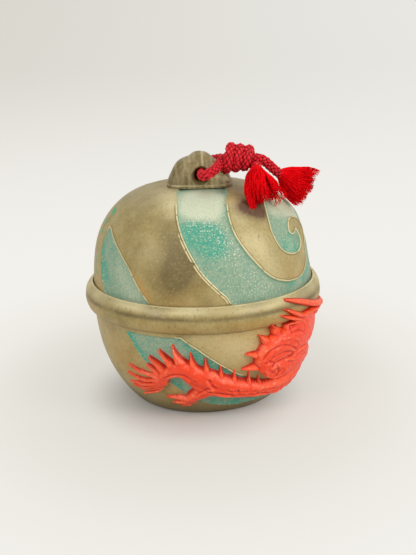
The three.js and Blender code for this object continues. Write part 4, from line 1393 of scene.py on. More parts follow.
@dataclass(frozen=True)
class HangingLug:
    """The pierced lug on the crown: a leaf-like plate, flat in front, with a bore from front to back."""

    half_width: float = 10.6
    half_depth: float = 7.4
    rise: float = 10.3
    lean: float = 0.7
    bore_radius: float = 2.25
    bore_height: float = 72.5
    bore_offset: float = 0.5
    bore_waist: Rows = ((0.2, 0.93), (0.5, 0.67), (0.8, 0.93))
    squareness: float = 3.2
    foot: float = 68.45
    face_foot: float = 70.2
    columns: int = 300
    rows: int = 72
    sections: Rows = (
        (-0.16, 1.0, 1.0, 1.0), (0, 0.975, 0.97, 0.96), (0.14, 0.935, 0.92, 0.91), (0.32, 0.86, 0.83, 0.82),
        (0.58, 0.73, 0.61, 0.66), (0.7, 0.62, 0.5, 0.58), (0.78, 0.48, 0.41, 0.53),
        (0.83, 0.34, 0.36, 0.48), (0.9, 0.25, 0.28, 0.4), (0.96, 0.17, 0.19, 0.28), (1, 0.06, 0.07, 0.1),
    )

    def _section(self, z: Array) -> tuple[Array, Array, Array]:
        """The half widths to the left and right and the half depth at a height, in millimetres."""
        table = smoothed(self.sections, 6)
        share = (z - FORM.seam - FORM.dome_rise) / self.rise
        left, right, deep = (np.interp(share, table[:, 0], table[:, i]) for i in (1, 2, 3))
        return left * self.half_width, right * self.half_width, deep * self.half_depth

    def _outline(self) -> tuple[Array, Array]:
        """The lug's outline seen from in front, as reaches from the bore's middle.

        Returns:
            Angles round the bore, and the reach at each at which |x| / half width is 1 or the foot is met.
        """
        angles = np.linspace(-math.pi, math.pi, self.columns, endpoint=False)
        reaches = np.linspace(self.bore_radius, 16, 1400)[:, None]
        x = self.bore_offset + reaches * np.cos(angles)
        z = self.bore_height + reaches * np.sin(angles)
        left, right, _ = self._section(z)
        wide = np.where(x < 0, left, right)
        within = (np.abs(x) < wide) & (z > self.foot) & (z < FORM.seam + FORM.dome_rise + self.rise)
        last = within.shape[0] - 1 - within[::-1].argmax(0)
        return angles, reaches[last, 0]

    def build(self, material: Material) -> Thing:
        """Makes the lug.

        Rings go from the bore out over the front to the outline, on over the back to the bore, and through
        the bore. At (x, z) the half depth is depth * (1 - |x / width|^s)^(1 / s).

        Args:
            material: Its finish.

        Returns:
            The piece.
        """
        angles, reach = self._outline()
        share = np.linspace(0, 1, self.rows)[:, None]
        spread = self.bore_radius + (reach - self.bore_radius) * np.sin(share * math.pi / 2)
        x = self.bore_offset + spread * np.cos(angles)
        z = self.bore_height + spread * np.sin(angles)
        left, right, deep = self._section(z)
        wide = np.where(x < 0, left, right)
        inside = np.maximum(1 - np.abs(x / wide) ** self.squareness, 0)
        half = deep * inside ** (1 / self.squareness) + 0.03
        lean = self.lean * (z - FORM.seam - FORM.dome_rise) / self.rise
        face = z > self.face_foot
        off_bore = spread - self.bore_radius
        near_edge = (reach - spread) * face
        ridge = swell(near_edge, 1.15, 0.4) * eased(x, 3.4, 5.2) * face
        down = eased(-np.sin(angles), 0.35, 0.6)
        rim = down + (1 - down) * eased(reach - spread, 0.9, 2.4)
        dish = 0.3 * eased(off_bore, 0.4, 1.6) * rim
        round_hole = 0.35 * swell(off_bore, 0, 0.4)
        keel_line = swell(x - 0.9 + (z - 77) * 0.05, 0, 0.3) * eased(z, 74.4, 75.6)
        front = np.stack([x, -(half - round_hole - dish + 0.2 * keel_line + 0.34 * ridge) - lean, z], -1)
        back = np.stack([x, (half - round_hole) - lean, z], -1)
        press = 0.09 * lumps(front, 4, 21) + 0.06 * lumps(front, 1.4, 22)
        still = eased(off_bore, 0.0, 0.8) * eased(share, 1.0, 0.8)
        front[..., 1] += press * still
        back[..., 1] += 0.12 * lumps(back, 4, 23) * still
        middle = np.array([self.bore_offset, 0, self.bore_height])
        narrow = np.array([1, 0, 1])
        bore = [
            (front[0] * (1 - step) + back[0] * step - middle) * (1 - narrow * (1 - squeeze)) + middle
            for step, squeeze in self.bore_waist
        ]
        rings = np.concatenate([front, back[::-1], np.array(bore)[::-1]])
        low = swell(z, 69.25, 0.2) * eased(half, 0.1, 1.0)
        # Painted shade in the bore, widest at its lower left.
        lower_left = eased(-np.cos(angles - math.pi / 4), 0.1, 0.8)
        hole = eased(off_bore - 0.5 * lower_left, 0.5, 0.05)
        streaks = lumps(np.stack([x * 2.2, z * 0.5, z * 0], -1), 1.6, 26)
        edge = swell(near_edge, 0, 0.5) * face
        # Painted light and shade: the right side is painted lighter and the left side darker.
        right = eased(x, 2, 6)
        dark = 0.6 + 0.42 * eased(-x, 1, 6) - 0.15 * right + 0.2 * lumps(front, 3.4, 25)
        dark = dark - 0.25 * streaks - ridge - keel_line * 0.5 + hole
        faces = {
            "line": np.clip(low * 0.5 + ridge * 0.9, 0, 1),
            "pale": np.clip(keel_line * 0.35 + edge * 0.4 + 0.55 * right + 0.12 * streaks, 0, 1),
            "grey": np.clip(0.5 + 0.25 * lumps(front, 3, 24), 0, 1),
            "dark": np.clip(dark, 0, 1.3),
            "shaded_groove": hole * 0.95,
        }
        # The rings through the bore are painted dark, as shade.
        ends = {name: np.full((3, self.columns), float(name in ("dark", "shaded_groove"))) for name in faces}
        marks = {name: np.concatenate([rows, rows[::-1], ends[name]]).ravel() for name, rows in faces.items()}
        quads = ring_quads(len(rings), self.columns, True)
        skin = Skin(rings.reshape(-1, 3), quads, marks=marks).turned_out()
        return make_piece("hanging_lug_clay", skin, material, Body.BELL, Slot.BRONZE, "hanging_lug")


@dataclass(frozen=True)
class RattleBall:
    """The fired clay ball that lies loose inside and rattles."""

    radius: float = 6.0
    clearance: float = 0.3
    unevenness: float = 0.06
    rows: int = 40
    columns: int = 72

    def build(self, material: Material) -> Thing:
        """Makes the ball: r (sin t cos u, sin t sin u, cos t), with r a little short of the radius."""
        t = np.linspace(0, math.pi, self.rows + 2)[1:-1]
        u = np.linspace(0, 2 * math.pi, self.columns, endpoint=False)
        grid_u, grid_t = np.meshgrid(u, t)
        flat = np.sin(grid_t)
        ways = np.stack([flat * np.cos(grid_u), flat * np.sin(grid_u), np.cos(grid_t)], -1)
        reach = self.radius - self.unevenness - self.unevenness * lumps(ways * self.radius, 4, 31)
        middle = np.array([0, 0, FORM.wall + self.clearance + self.radius])
        skin = tube(middle + ways * reach[..., None])
        return make_piece("rattle_ball_clay", skin, material, Body.BALL, Slot.RAW, "rattle_ball")


@dataclass(frozen=True)
class RoundCord:
    """One unbroken round braid, through the lug and knotted on itself. Its route is given in millimetres, and
    its cell is the run of one crossing of its strands."""

    diameter: float = 3.2
    wrap_radius: Row = (3.55, 2.4)
    wrap_pitch: float = 2.75
    wrap_turns: float = 3.2
    turn_points: int = 12
    tilt: float = -2.0
    knot_start: Row = (7.8, -3.6, 77.35)
    core: Row = (8.6, 5.8, 3, 0.8)
    strands: int = 6
    cell: float = 1.6
    relief: float = 0.6
    unevenness: float = 0.16
    columns: int = 48
    row_pitch: float = 0.13
    span_points: int = 40
    far_end: Rows = (
        (25.3, -1.5, 71), (24, -1.75, 72.15), (22.7, -2, 73.3), (20.9, -2.6, 75.2), (19, -3.2, 76.5),
    )
    front: Rows = (
        (7.2, -4.6, 76.7), (6.1, -6.3, 75.8), (5.1, -8, 74.9), (3.8, -9.6, 74.3), (2.4, -10.5, 73.6),
        (1.3, -9.9, 73.1), (0.85, -8, 72.9), (0.8, -0.6, 72.74),
    )
    back: Rows = (
        (0.05, 6.2, 72.15), (0.6, 8.6, 72.7), (2.3, 9.8, 73.4), (4.5, 9.4, 74), (6.7, 7.9, 74.7),
        (7.9, 5.7, 74.9), (8.3, 2.9, 75.3),
    )
    near_end: Rows = ((17.4, -5.6, 74.7), (17.7, -7.2, 75), (17.9, -8.5, 74.5), (17.9, -9.2, 73.6))

    def _knot(self, along: Array, angle: Array, radius: Array | float) -> Array:
        """Points round the knot's axis: start + along * axis + radius * (cos up, sin in front)."""
        tilt = math.radians(self.tilt)
        axis = np.array([math.cos(tilt), 0, math.sin(tilt)])
        up = np.array([-axis[2], 0, axis[0]])
        points = np.array(self.knot_start) + along[:, None] * axis + (radius * np.cos(angle))[:, None] * up
        points[:, 1] -= radius * np.sin(angle)
        return points

    def route(self) -> Array:
        """The points that the cord passes through, from its far end to its near end."""
        core = np.array(self.core)
        turns = np.arange(1, round(self.wrap_turns * self.turn_points) + 1) / self.turn_points
        radius = np.interp(turns, (0, self.wrap_turns), self.wrap_radius)
        wraps = self._knot(self.wrap_pitch * turns, 2 * math.pi * (0.75 - turns), radius)
        parts = [self.far_end, self._knot(core, core * 0, 0.0), self.front, self.back, wraps, self.near_end]
        return np.concatenate([np.array(part, float) for part in parts])

    def centreline(self) -> Array:
        """The cord's middle, evenly spaced.

        Returns:
            Points on a centripetal Catmull-Rom curve: the spans between points are timed by the square
            roots of their lengths, and each span is the cubic with the slopes that the timing gives.
        """
        route = self.route()
        padded = np.concatenate([[2 * route[0] - route[1]], route, [2 * route[-1] - route[-2]]])
        timing = np.linalg.norm(np.diff(padded, axis=0), axis=1) ** 0.5
        before, during, after = timing[:-2, None], timing[1:-1, None], timing[2:, None]
        a, b, c, d = padded[:-3], padded[1:-2], padded[2:-1], padded[3:]
        start = ((b - a) / before - (c - a) / (before + during) + (c - b) / during) * during
        end = ((c - b) / during - (d - b) / (during + after) + (d - c) / after) * during
        t = np.linspace(0, 1, self.span_points, endpoint=False)[None, :, None]
        b, c, start, end = b[:, None], c[:, None], start[:, None], end[:, None]
        curve = b + start * t + (3 * (c - b) - 2 * start - end) * t**2 + (2 * (b - c) + start + end) * t**3
        fine = np.concatenate([curve.reshape(-1, 3), route[-1:]])
        lengths = run_lengths(fine)
        even = np.linspace(0, lengths[-1], int(lengths[-1] / self.row_pitch))
        return np.stack([np.interp(even, lengths, fine[:, i]) for i in range(3)], -1)

    @staticmethod
    def frames(path: Array) -> tuple[Array, Array]:
        """Two directions across a path at each of its points, carried along it without twisting."""
        ways = unit(np.gradient(path, axis=0))
        across = np.zeros_like(path)
        across[0] = unit(np.cross(ways[0], [0.3, 1.0, 0.2]))
        for i in range(1, len(path)):
            across[i] = across[i - 1] - ways[i] * (across[i - 1] @ ways[i])
            across[i] /= np.linalg.norm(across[i])
        return across, np.cross(ways, across)

    def build(self, material: Material, tassels: Sequence[Thing]) -> Thing:
        """Two sets of strands wind round, a = n u + s / p one way and b = n u - s / p the other, for a share u
        round, a run s, n strands and a cell p. Where the whole parts of a and b add to an even number the
        first set is on top, and the surface there is a half round across it.

        Args:
            material: Its finish.
            tassels: The pieces on its ends; not used.

        Returns:
            The piece.
        """
        path = self.centreline()
        first, second = self.frames(path)
        u = np.linspace(0, 1, self.columns, endpoint=False)
        run = np.linspace(0, len(path) * self.row_pitch, len(path))
        grid_u, grid_run = np.meshgrid(u, run)
        round_cos, round_sin = np.cos(math.tau * grid_u), np.sin(math.tau * grid_u)
        where = np.stack([round_cos, round_sin, grid_run / self.cell], -1)
        slip = self.unevenness * lumps(where, 0.9, 31)
        a = self.strands * grid_u + grid_run / self.cell + slip
        b = self.strands * grid_u - grid_run / self.cell + self.unevenness * lumps(where, 0.8, 32)
        on_top = (np.floor(a) + np.floor(b)) % 2 == 0
        across = np.where(on_top, a % 1, b % 1) - 0.5
        under = np.where(on_top, b % 1, a % 1) - 0.5
        ply = np.sqrt(np.maximum(1 - (2 * across) ** 2, 0)) * (1 - 0.6 * (2 * under) ** 4)
        radius = self.diameter / 2 - self.relief + (self.relief + 0.06) * ply * (1 - 0.5 * np.abs(slip))
        rings = path[:, None] + radius[..., None] * (
            round_cos[..., None] * first[:, None] + round_sin[..., None] * second[:, None]
        )
        skin = tube(rings, {"ply": ply, "fibre": across})
        piece = make_piece("hanging_cord_braid", skin, material, Body.CORD, Slot.BRAID, "cord")
        return piece


@dataclass(frozen=True)
class Tassel:
    """An end of the cord, combed out into strands. Each station is x, y, z, half width and half thickness,
    and a lobe is a lock of its own: its place across the fan and its reach."""

    name: str
    node: str
    side: Row
    stations: Rows
    seed: int
    lobes: Rows = ()
    strands: int = 1150
    locks: int = 34
    steps: int = 16
    thickness: float = 0.125
    gap: float = 0.25

    def build(self, material: Material) -> Thing:
        """Makes the strands.

        Each starts at its place in the cord's end and keeps its share of the fan's width and thickness,
        while strands of one lock draw together towards the tips and all of them waver a little.

        Args:
            material: Their finish.

        Returns:
            The piece.
        """
        chance = np.random.default_rng(self.seed)
        path = smoothed(self.stations, 8)
        shares = np.linspace(0, 1, len(path))
        centre, half, thick = path[:, :3], path[:, 3], path[:, 4]
        ways = unit(np.gradient(centre, axis=0))
        side = unit(np.array(self.side, float))
        wide = unit(side - ways * (ways @ side)[:, None])
        deep = np.cross(ways, wide)
        disc = self._disc(chance, self.strands, 0.02)
        locks = self._disc(chance, self.locks, 0.1)
        lock_reach = chance.uniform(0.8, 1.0, self.locks)
        for index, (across, through, far) in enumerate(self.lobes):
            locks[index], lock_reach[index] = (across, through), far
        mine = ((disc[:, None] - locks[None]) ** 2).sum(-1).argmin(1)
        reach = (1 - 0.22 * chance.uniform(0, 1, self.strands) ** 2) * lock_reach[mine]
        t = np.linspace(0, 1, self.steps)[None, :] * reach[:, None]
        draw = 0.62 * t[..., None] ** 1.6
        place = disc[:, None] * (1 - draw) + locks[mine][:, None] * draw
        waver = chance.uniform(-1, 1, (self.strands, 2, 2))
        phase = 2 * math.pi * (t[..., None] * (0.8 + np.abs(waver[:, None, 0])) + waver[:, None, 1])
        place = place + 0.12 * np.sin(phase) * t[..., None]
        at = [np.interp(t, shares, column) for column in (*centre.T, half, thick)]
        points = np.stack(at[:3], -1)
        for i, frame in enumerate((wide, deep)):
            way = np.stack([np.interp(t, shares, column) for column in frame.T], -1)
            points = points + (place[..., i] * at[3 + i])[..., None] * way
        over = np.maximum(t - 1, 0)[..., None]
        points = FORM.clear(points - over * np.array([0, 0, 7.0]), self.gap)
        tone = chance.uniform(0, 1, self.strands) * 0.6 + chance.uniform(0, 0.4, self.locks)[mine]
        # How far out in the tassel each strand lies; the strands inside are painted darker as shade.
        outside = np.clip(np.linalg.norm(place, axis=-1), 0, 1)
        skin = self._strands(points, t, reach, tone, outside)
        return make_piece(self.name, skin, material, Body.CORD, Slot.FRINGE, self.node)

    @staticmethod
    def _disc(chance: np.random.Generator, count: int, least: float) -> Array:
        """Seeded places in a disc: (r cos u, r sin u), with r the root of an even draw."""
        radius = np.sqrt(chance.uniform(least, 1, count))
        angle = chance.uniform(0, 2 * math.pi, count)
        return np.stack([radius * np.cos(angle), radius * np.sin(angle)], -1)

    def _strands(self, points: Array, t: Array, reach: Array, tone: Array, outside: Array) -> Skin:
        """Three-sided tubes round all the strands at once, thinner at the tips, with closed ends."""
        count, steps, _ = points.shape
        ways = unit(np.gradient(points, axis=1))
        first = unit(np.cross(ways, np.array([0.2, 0.9, 0.4])))
        second = np.cross(ways, first)
        taper = self.thickness * (1 - 0.6 * eased(t / reach[:, None], 0.6, 1.0))
        corners = np.arange(3) * math.tau / 3
        rings = points[:, :, None] + taper[..., None, None] * (
            np.cos(corners)[:, None] * first[:, :, None] + np.sin(corners)[:, None] * second[:, :, None]
        )
        starts = (np.arange(count) * steps * 3)[:, None, None]
        quads = (ring_quads(steps, 3)[None] + starts).reshape(-1, 4)
        ends = np.array([[2, 1, 0], [(steps - 1) * 3 + i for i in range(3)]])
        marks = {"tone": np.repeat(tone, steps * 3), "outside": np.repeat(outside.reshape(-1), 3)}
        return Skin(rings.reshape(-1, 3), quads, (ends[None] + starts).reshape(-1, 3), marks).turned_out()


NEAR_TASSEL = Tassel(
    "near_tassel_threads", "near_tassel", (0.86, 0.26, -0.56),
    (
        (17.85, -8.3, 74.9, 1.25, 1.25), (17.8, -9.4, 73.9, 2.8, 2), (18, -10.6, 72.3, 4.7, 2.8),
        (18.5, -11.8, 70.2, 6.1, 3.2), (19.2, -12.9, 68, 7, 3), (20.4, -13.9, 65, 7.4, 2.2),
    ),
    41,
    ((-0.8, 0.3, 1.1), (-0.25, -0.2, 0.86), (0.2, 0.3, 1), (0.6, 0, 1.32), (0.95, 0.1, 1.14)),
)
FAR_TASSEL = Tassel(
    "far_tassel_threads", "far_tassel", (0.5, 0, 0.866),
    (
        (25, -1.4, 71.6, 1.25, 1.25), (26.2, -1.2, 70.8, 2.7, 2.2), (28, -1, 69.6, 4.4, 3),
        (30.4, -1, 68, 5.8, 3.2), (33, -1, 66.5, 6.7, 2.9), (34.9, -1, 65.5, 6.9, 2),
    ),
    42,
    ((0.88, 0.1, 0.96), (-0.75, 0.1, 0.95), (0.15, 0, 1.03)),
)


# A wisp or a claw keeps its width for longer than a spine does.
wisp = partial(fin, taper=0.8)


def dragon_tail() -> Sprig:
    """The brush of thin wisps at the end of the tail."""
    root = Strip(((-24.4, -32.5, 1.9, 1.7), (-26.8, -33.6, 1.7, 1.5), (-29.6, -33.2, 1.0, 1.0)), 2.4)
    wisps = (
        wisp(0.45, 1.2, (-27, -30.4), (-36.1, -29.3), (-40.8, -28.2), (-45.8, -27)),
        fin(0.75, 1.4, (-25, -30.4), (-29, -29.9), (-32.8, -29.5), (-37.2, -28.4), taper=0.7),
        wisp(0.42, 1.1, (-27, -31.9), (-35, -33.6), (-42.9, -33.2), (-49.6, -32.2)),
        wisp(0.46, 1.2, (-26, -34), (-32.8, -35.5), (-42.8, -36.9), (-51.4, -38.2)),
        wisp(0.4, 1.1, (-26, -35.2), (-31, -36.6), (-41, -39.3), (-50, -40)),
        wisp(0.38, 1.0, (-25.6, -36), (-29.4, -37.6), (-36.9, -40), (-43.2, -41.7)),
        wisp(0.42, 1.1, (-24.6, -35.8), (-28.7, -38.9), (-34.9, -41.4), (-44, -44.6)),
    )
    return Sprig("dragon_tail_relief", ("dragon_tail_tuft",), (*wisps, root), pitch=0.16, brushed=0.06)


def dragon_body() -> Sprig:
    """The trunk with the spines along its back and the hind leg."""
    trunk = Strip(
        (
            (-25.4, -32.6, 1.9, 1.5), (-19.9, -27.4, 1.7, 1.8), (-12, -25.4, 2.7, 2),
            (-5.2, -29.2, 3.5, 2.2), (1, -32.4, 4.2, 2.5), (8, -34.8, 3.7, 2.5), (20, -38, 2.9, 2.4),
            (33, -40, 2.6, 2.4), (46, -41.4, 2.7, 2.3), (58, -41.3, 2.9, 2.1), (68, -39.9, 3.1, 1.8),
            (75, -36.8, 3.3, 1.6), (77, -33, 3.4, 1.6), (73, -30, 3.5, 1.9),
        ),
        3.2,
    )
    spines = (
        fin(1.1, 1.3, (-24.4, -30.2), (-27.6, -27.6), (-30, -26), (-32.6, -24.8)),
        fin(1.2, 1.4, (-21.4, -28), (-25.4, -23.8), (-27.8, -21.8), (-30.3, -20.2)),
        fin(1.5, 1.5, (-15.8, -25.4), (-19.2, -21.6), (-21.4, -18.8), (-24, -15.9)),
        fin(1.8, 1.6, (-10.6, -24.4), (-13.8, -20), (-15.4, -16.6), (-16.5, -13.2)),
        fin(1.6, 1.5, (-6, -25.4), (-6.9, -21.4), (-7.3, -17.2)),
        fin(1.4, 1.4, (0.8, -28), (0.4, -24.2), (0.2, -20.1)),
        fin(1.2, 1.3, (8.6, -31.4), (8.3, -28), (8.1, -24.2)),
        fin(1.2, 1.3, (16, -34.4), (15.9, -31), (15.7, -26.9)),
        fin(1.15, 1.3, (25.4, -36.4), (24.8, -33.2), (24.2, -29.5)),
        fin(1.1, 1.3, (33, -38), (31.8, -35.6), (31, -32.8)),
    )
    thigh = Strip(
        ((2.6, -34.4, 2.6, 2.7), (-1, -36.9, 2.4, 2.6), (-4.3, -39, 1.8, 2.3), (-7.7, -40.8, 1.3, 1.9)), 2.6
    )
    foot = Strip(((-6.4, -41, 1.3, 1.8), (-9.6, -42.3, 1.4, 1.7), (-12.3, -43.5, 0.9, 1.3)), 2.6)
    claws = (
        wisp(0.8, 1.4, (-9.5, -42.3), (-15.6, -42.2), (-20, -42.3), (-25, -42.8)),
        wisp(0.8, 1.4, (-9.7, -43.8), (-14.5, -44.8), (-18, -45.7), (-22.2, -47)),
        wisp(0.8, 1.3, (-8.2, -43.4), (-10.6, -46.2), (-13.2, -47.8), (-17, -49.4)),
        wisp(0.7, 1.2, (-6.2, -42.4), (-7.4, -45.2), (-8.1, -47.4)),
    )
    belly = ((-7.6, -30.4), (-3.1, -33), (2.7, -35.2), (14, -38), (26.7, -40), (42.1, -41.8), (52.9, -41.8))
    marks = (
        (0.34, -0.32, belly),
        (0.3, -0.3, ((-21.6, -28.6), (-16, -26.4), (-10.4, -26.8), (-5, -29.4))),
        (0.3, -0.28, ((12, -35.2), (20, -37), (30, -38.6), (42, -39.8))),
        (0.3, -0.4, ((-5.8, -37.8), (-3.6, -36), (-1.4, -34.4), (1.8, -32.8))),
        (0.4, 0.35, ((0.6, -29.4), (1.6, -31.4), (3.4, -33.6))),
        (0.35, -0.4, ((1.8, -28.8), (3.2, -31), (5.2, -33))),
        (0.4, 0.3, ((15, -36.2), (16.4, -38.4))),
        (0.3, -0.3, ((17.6, -35.8), (19, -38.4))),
        (0.45, 0.3, ((6.6, -37.4), (10, -38.6), (13, -38.8))),
        (0.3, -0.35, ((30, -39.6), (33, -40.6), (38, -41))),
    )
    return Sprig("dragon_body_relief", ("dragon_body",), (*spines, trunk, *claws, foot, thigh), marks)


def dragon_neck() -> Sprig:
    """The coil that doubles back on itself over the band, and the neck to the head."""
    lower = Strip(
        (
            (70, -30, 3.8, 2), (58, -28.8, 4.1, 2.7), (47, -28.3, 4.2, 3.1), (38, -27.6, 3.9, 3.2),
            (33.6, -25.6, 3.2, 3.2),
        ),
        3.4,
    )
    upper = Strip(
        (
            (31.5, -20.6, 2.9, 3.1), (36, -17.2, 3.7, 3.3), (44, -15.2, 4, 3.2), (54, -15.7, 4.2, 3),
            (64, -17, 3.9, 2.5), (76, -17.4, 3.5, 1.7), (88, -15.8, 3.5, 1.5), (100, -12.8, 3.9, 2.4),
            (107, -10.4, 3.9, 3),
        ),
        3.4,
    )
    filler = Strip((
        (30.6, -22.8, 2.4, 2.8), (36, -22.2, 3, 2.9), (44, -21.7, 3, 2.7), (54, -22, 3, 2.5),
        (64, -23, 3, 2),
    ))
    shoulder = Strip(
        ((46, -9.4, 1.9, 2.4), (51, -8.4, 2.4, 2.5), (57, -9.9, 2.9, 2.5), (62, -12.4, 3.2, 2.4)), 2.6
    )
    spines = (
        fin(1.5, 1.9, (31, -26), (27, -26.1), (23.6, -26.4), (19.8, -26.9), taper=1),
        fin(1.4, 1.9, (30.6, -20.6), (27.4, -19.9), (24.6, -19.2), (21.3, -18.8), taper=0.75),
        fin(2.0, 1.9, (34.4, -15.4), (31.6, -12.8), (29.8, -11.2), (28, -9.6)),
        fin(2.0, 1.8, (39.6, -11), (37, -8.4), (35.4, -6.4), (33.7, -4.4)),
        fin(1.6, 1.8, (48.4, -11.6), (46.4, -10), (44.4, -8.6)),
        fin(1.5, 1.8, (92, -17.4), (89.4, -21.4), (87, -25)),
        fin(1.5, 1.8, (101, -14.6), (99.4, -18.8), (98, -22.5)),
    )
    marks = (
        (0.4, -1.0, ((35.4, -24.6), (38.1, -23.6), (42.6, -23.2), (48.8, -23.4), (54.1, -22), (62, -21.4))),
        (
            0.45, 0.42,
            ((31.8, -27), (33.6, -30.2), (38.5, -31.6), (43.3, -30.4), (44.3, -27.6), (40, -26), (34.8, -26)),
        ),
        (0.4, -0.35, ((35.5, -28.3), (38.5, -29.4), (41.2, -28.2))),
        (0.4, -0.4, ((29.4, -20.2), (33, -16.4), (40, -15.2), (47, -17.8), (52, -21))),
        (0.36, -0.35, ((31, -22.6), (36, -20), (43, -19.5), (50, -22))),
        (0.34, -0.4, ((44, -4.8), (51, -4.4), (57, -6.2), (60, -10), (57, -14))),
        (0.34, -0.4, ((46, -10.8), (52, -11.2), (56, -13.2))),
        (0.32, -0.3, ((46, -25.4), (52, -26.4), (58, -26), (66, -27))),
        (0.32, -0.3, ((44, -31.4), (52, -31.6), (62, -32.4))),
        (0.9, -1.3, ((46.8, -8.6), (48.8, -8.2))),
        (0.35, -0.4, ((33, -22), (37, -24.4), (40, -28.6), (39, -31))),
        (0.35, 0.35, ((46, -23.8), (50, -25), (55, -25.2), (60, -24.4))),
        (0.4, 0.35, ((40, -12.4), (45, -12.6), (50, -14.6), (53, -18))),
        (0.45, 0.4, ((50, -5.4), (55, -7), (58, -10.4))),
    )
    return Sprig("dragon_neck_relief", ("dragon_neck",), (*spines, lower, filler, upper, shoulder), marks)


def dragon_foreleg() -> Sprig:
    """The foreleg laid over the band, with three long claws that spread apart."""
    arm = Strip(
        (
            (90, -8.6, 1.6, 1), (79, -7.4, 2.2, 1.7), (70, -6.6, 2.5, 2), (61, -5.8, 2.1, 2),
            (55, -5, 1.5, 1.8),
        ),
        2.6,
    )
    wrist = Strip(((80, -11, 1.6, 1.2), (70, -10.6, 1.6, 1.5), (62.4, -9.6, 1.1, 1.3)), 2.4)
    claws = (
        Strip(
            (
                (90, -6, 0.9, 0.7), (84, -5.4, 1, 1), (77, -4.2, 1.05, 1.5), (66, -1.6, 1, 1.8),
                (58, 0.9, 0.95, 1.7), (52, 3, 0.85, 1.6), (47.6, 4.4, 0.7, 1.3), (42.7, 5.9, 0.3, 0.7),
            ),
            2.2, 0.15, 0.22,
        ),
        fin(1.05, 1.8, (58, -5.4), (53.6, -4.2), (49.4, -2.6), (44.6, 0), (40.4, 1.9), taper=0.42),
        fin(1.0, 1.8, (57, -6.4), (52.3, -5.6), (47.4, -4.1), (42.6, -2.3), (38.2, -0.7), taper=0.42),
    )
    marks = (
        (0.3, -0.35, ((84, -7), (76, -6.4), (68, -5.4), (62, -4.8))),
        (0.3, -0.3, ((78, -8.8), (70, -8.4), (62, -7.8))),
    )
    return Sprig("dragon_foreleg_relief", ("dragon_foreleg",), (arm, wrist, *claws), marks, pitch=0.17)


def dragon_head() -> tuple[Sprig, ...]:
    """The head round at the side of the bell, with its jaw, crest and locks, and the horns and whiskers."""
    skull = Strip(((113.2, -7, 4.2, 2.8), (119, -3.6, 5, 3.2), (126, -1, 4.4, 4), (130, 0, 3, 3.4)), 2.8)
    snout = Strip(
        ((124, 1.6, 3.2, 4.4), (131, 3.2, 2.9, 3.8), (137, 3.6, 2.6, 3.2), (141, 4.6, 1.7, 2.6)), 2.6
    )
    jaw = Strip(
        ((120, -9.6, 2.8, 3), (128, -10.4, 2.2, 2.6), (135, -8.4, 1.7, 2.2), (138.5, -6.4, 1.1, 1.6)), 2.6
    )
    brow = Strip(((122, 4.2, 1.1, 3.1), (124.6, 5.6, 1.4, 3.7), (128, 6, 1, 3.8)), 2.4)
    locks = (
        fin(1.6, 2.4, (119, -9.6), (115.6, -16), (112.5, -21)),
        fin(1.5, 2.3, (123, -10.4), (120.6, -17), (118.5, -22)),
        fin(1.3, 2.1, (128, -10.6), (126.6, -16), (125.5, -20.5)),
        fin(1.3, 2, (117, 0), (113.6, 1.8), (110.6, 2.2)),
    )
    marks = (
        (0.45, -0.9, ((126, -3.6), (131, -3), (137, -1.6))),
        (0.7, 0.6, ((123.4, 2.6), (124.6, 3.2))),
        (0.3, -0.5, ((120.8, 1.4), (123, 0.8), (125.4, 1.8))),
        (0.4, -0.6, ((137.6, 4.6), (138.4, 5))),
    )
    rolls = {
        "dragon_front_horn": Strip(
            ((121, 9.4, 1.5, 2), (118.6, 13.6, 1.3, 1.8), (116.5, 18.2, 0.85, 1.05), (116, 23.2, 0.3, 0.4)),
            2.4,
        ),
        "dragon_rear_horn": Strip(
            ((124.5, 10, 1.5, 2.4), (121.5, 14.8, 1.3, 2.2), (119, 20, 0.9, 1.6), (118, 25.6, 0.3, 0.6)),
            2.4,
        ),
        "dragon_upper_whisker": Strip(
            ((144.5, 3.6, 0.8, 1.4), (149, 0.4, 0.7, 1.2), (153.5, 2.6, 0.6, 1), (158, -0.6, 0.3, 0.6)), 2.2
        ),
        "dragon_lower_whisker": Strip(
            ((142.5, -3, 0.8, 1.4), (147, -6.6, 0.7, 1.2), (151, -5, 0.6, 1), (155, -9, 0.3, 0.6)), 2.2
        ),
    }
    return (
        Sprig("dragon_head_relief", ("dragon_head",), (skull, snout, jaw, brow, *locks), marks),
        *(Sprig(f"{node}_relief", (node,), (roll,)) for node, roll in rolls.items()),
    )


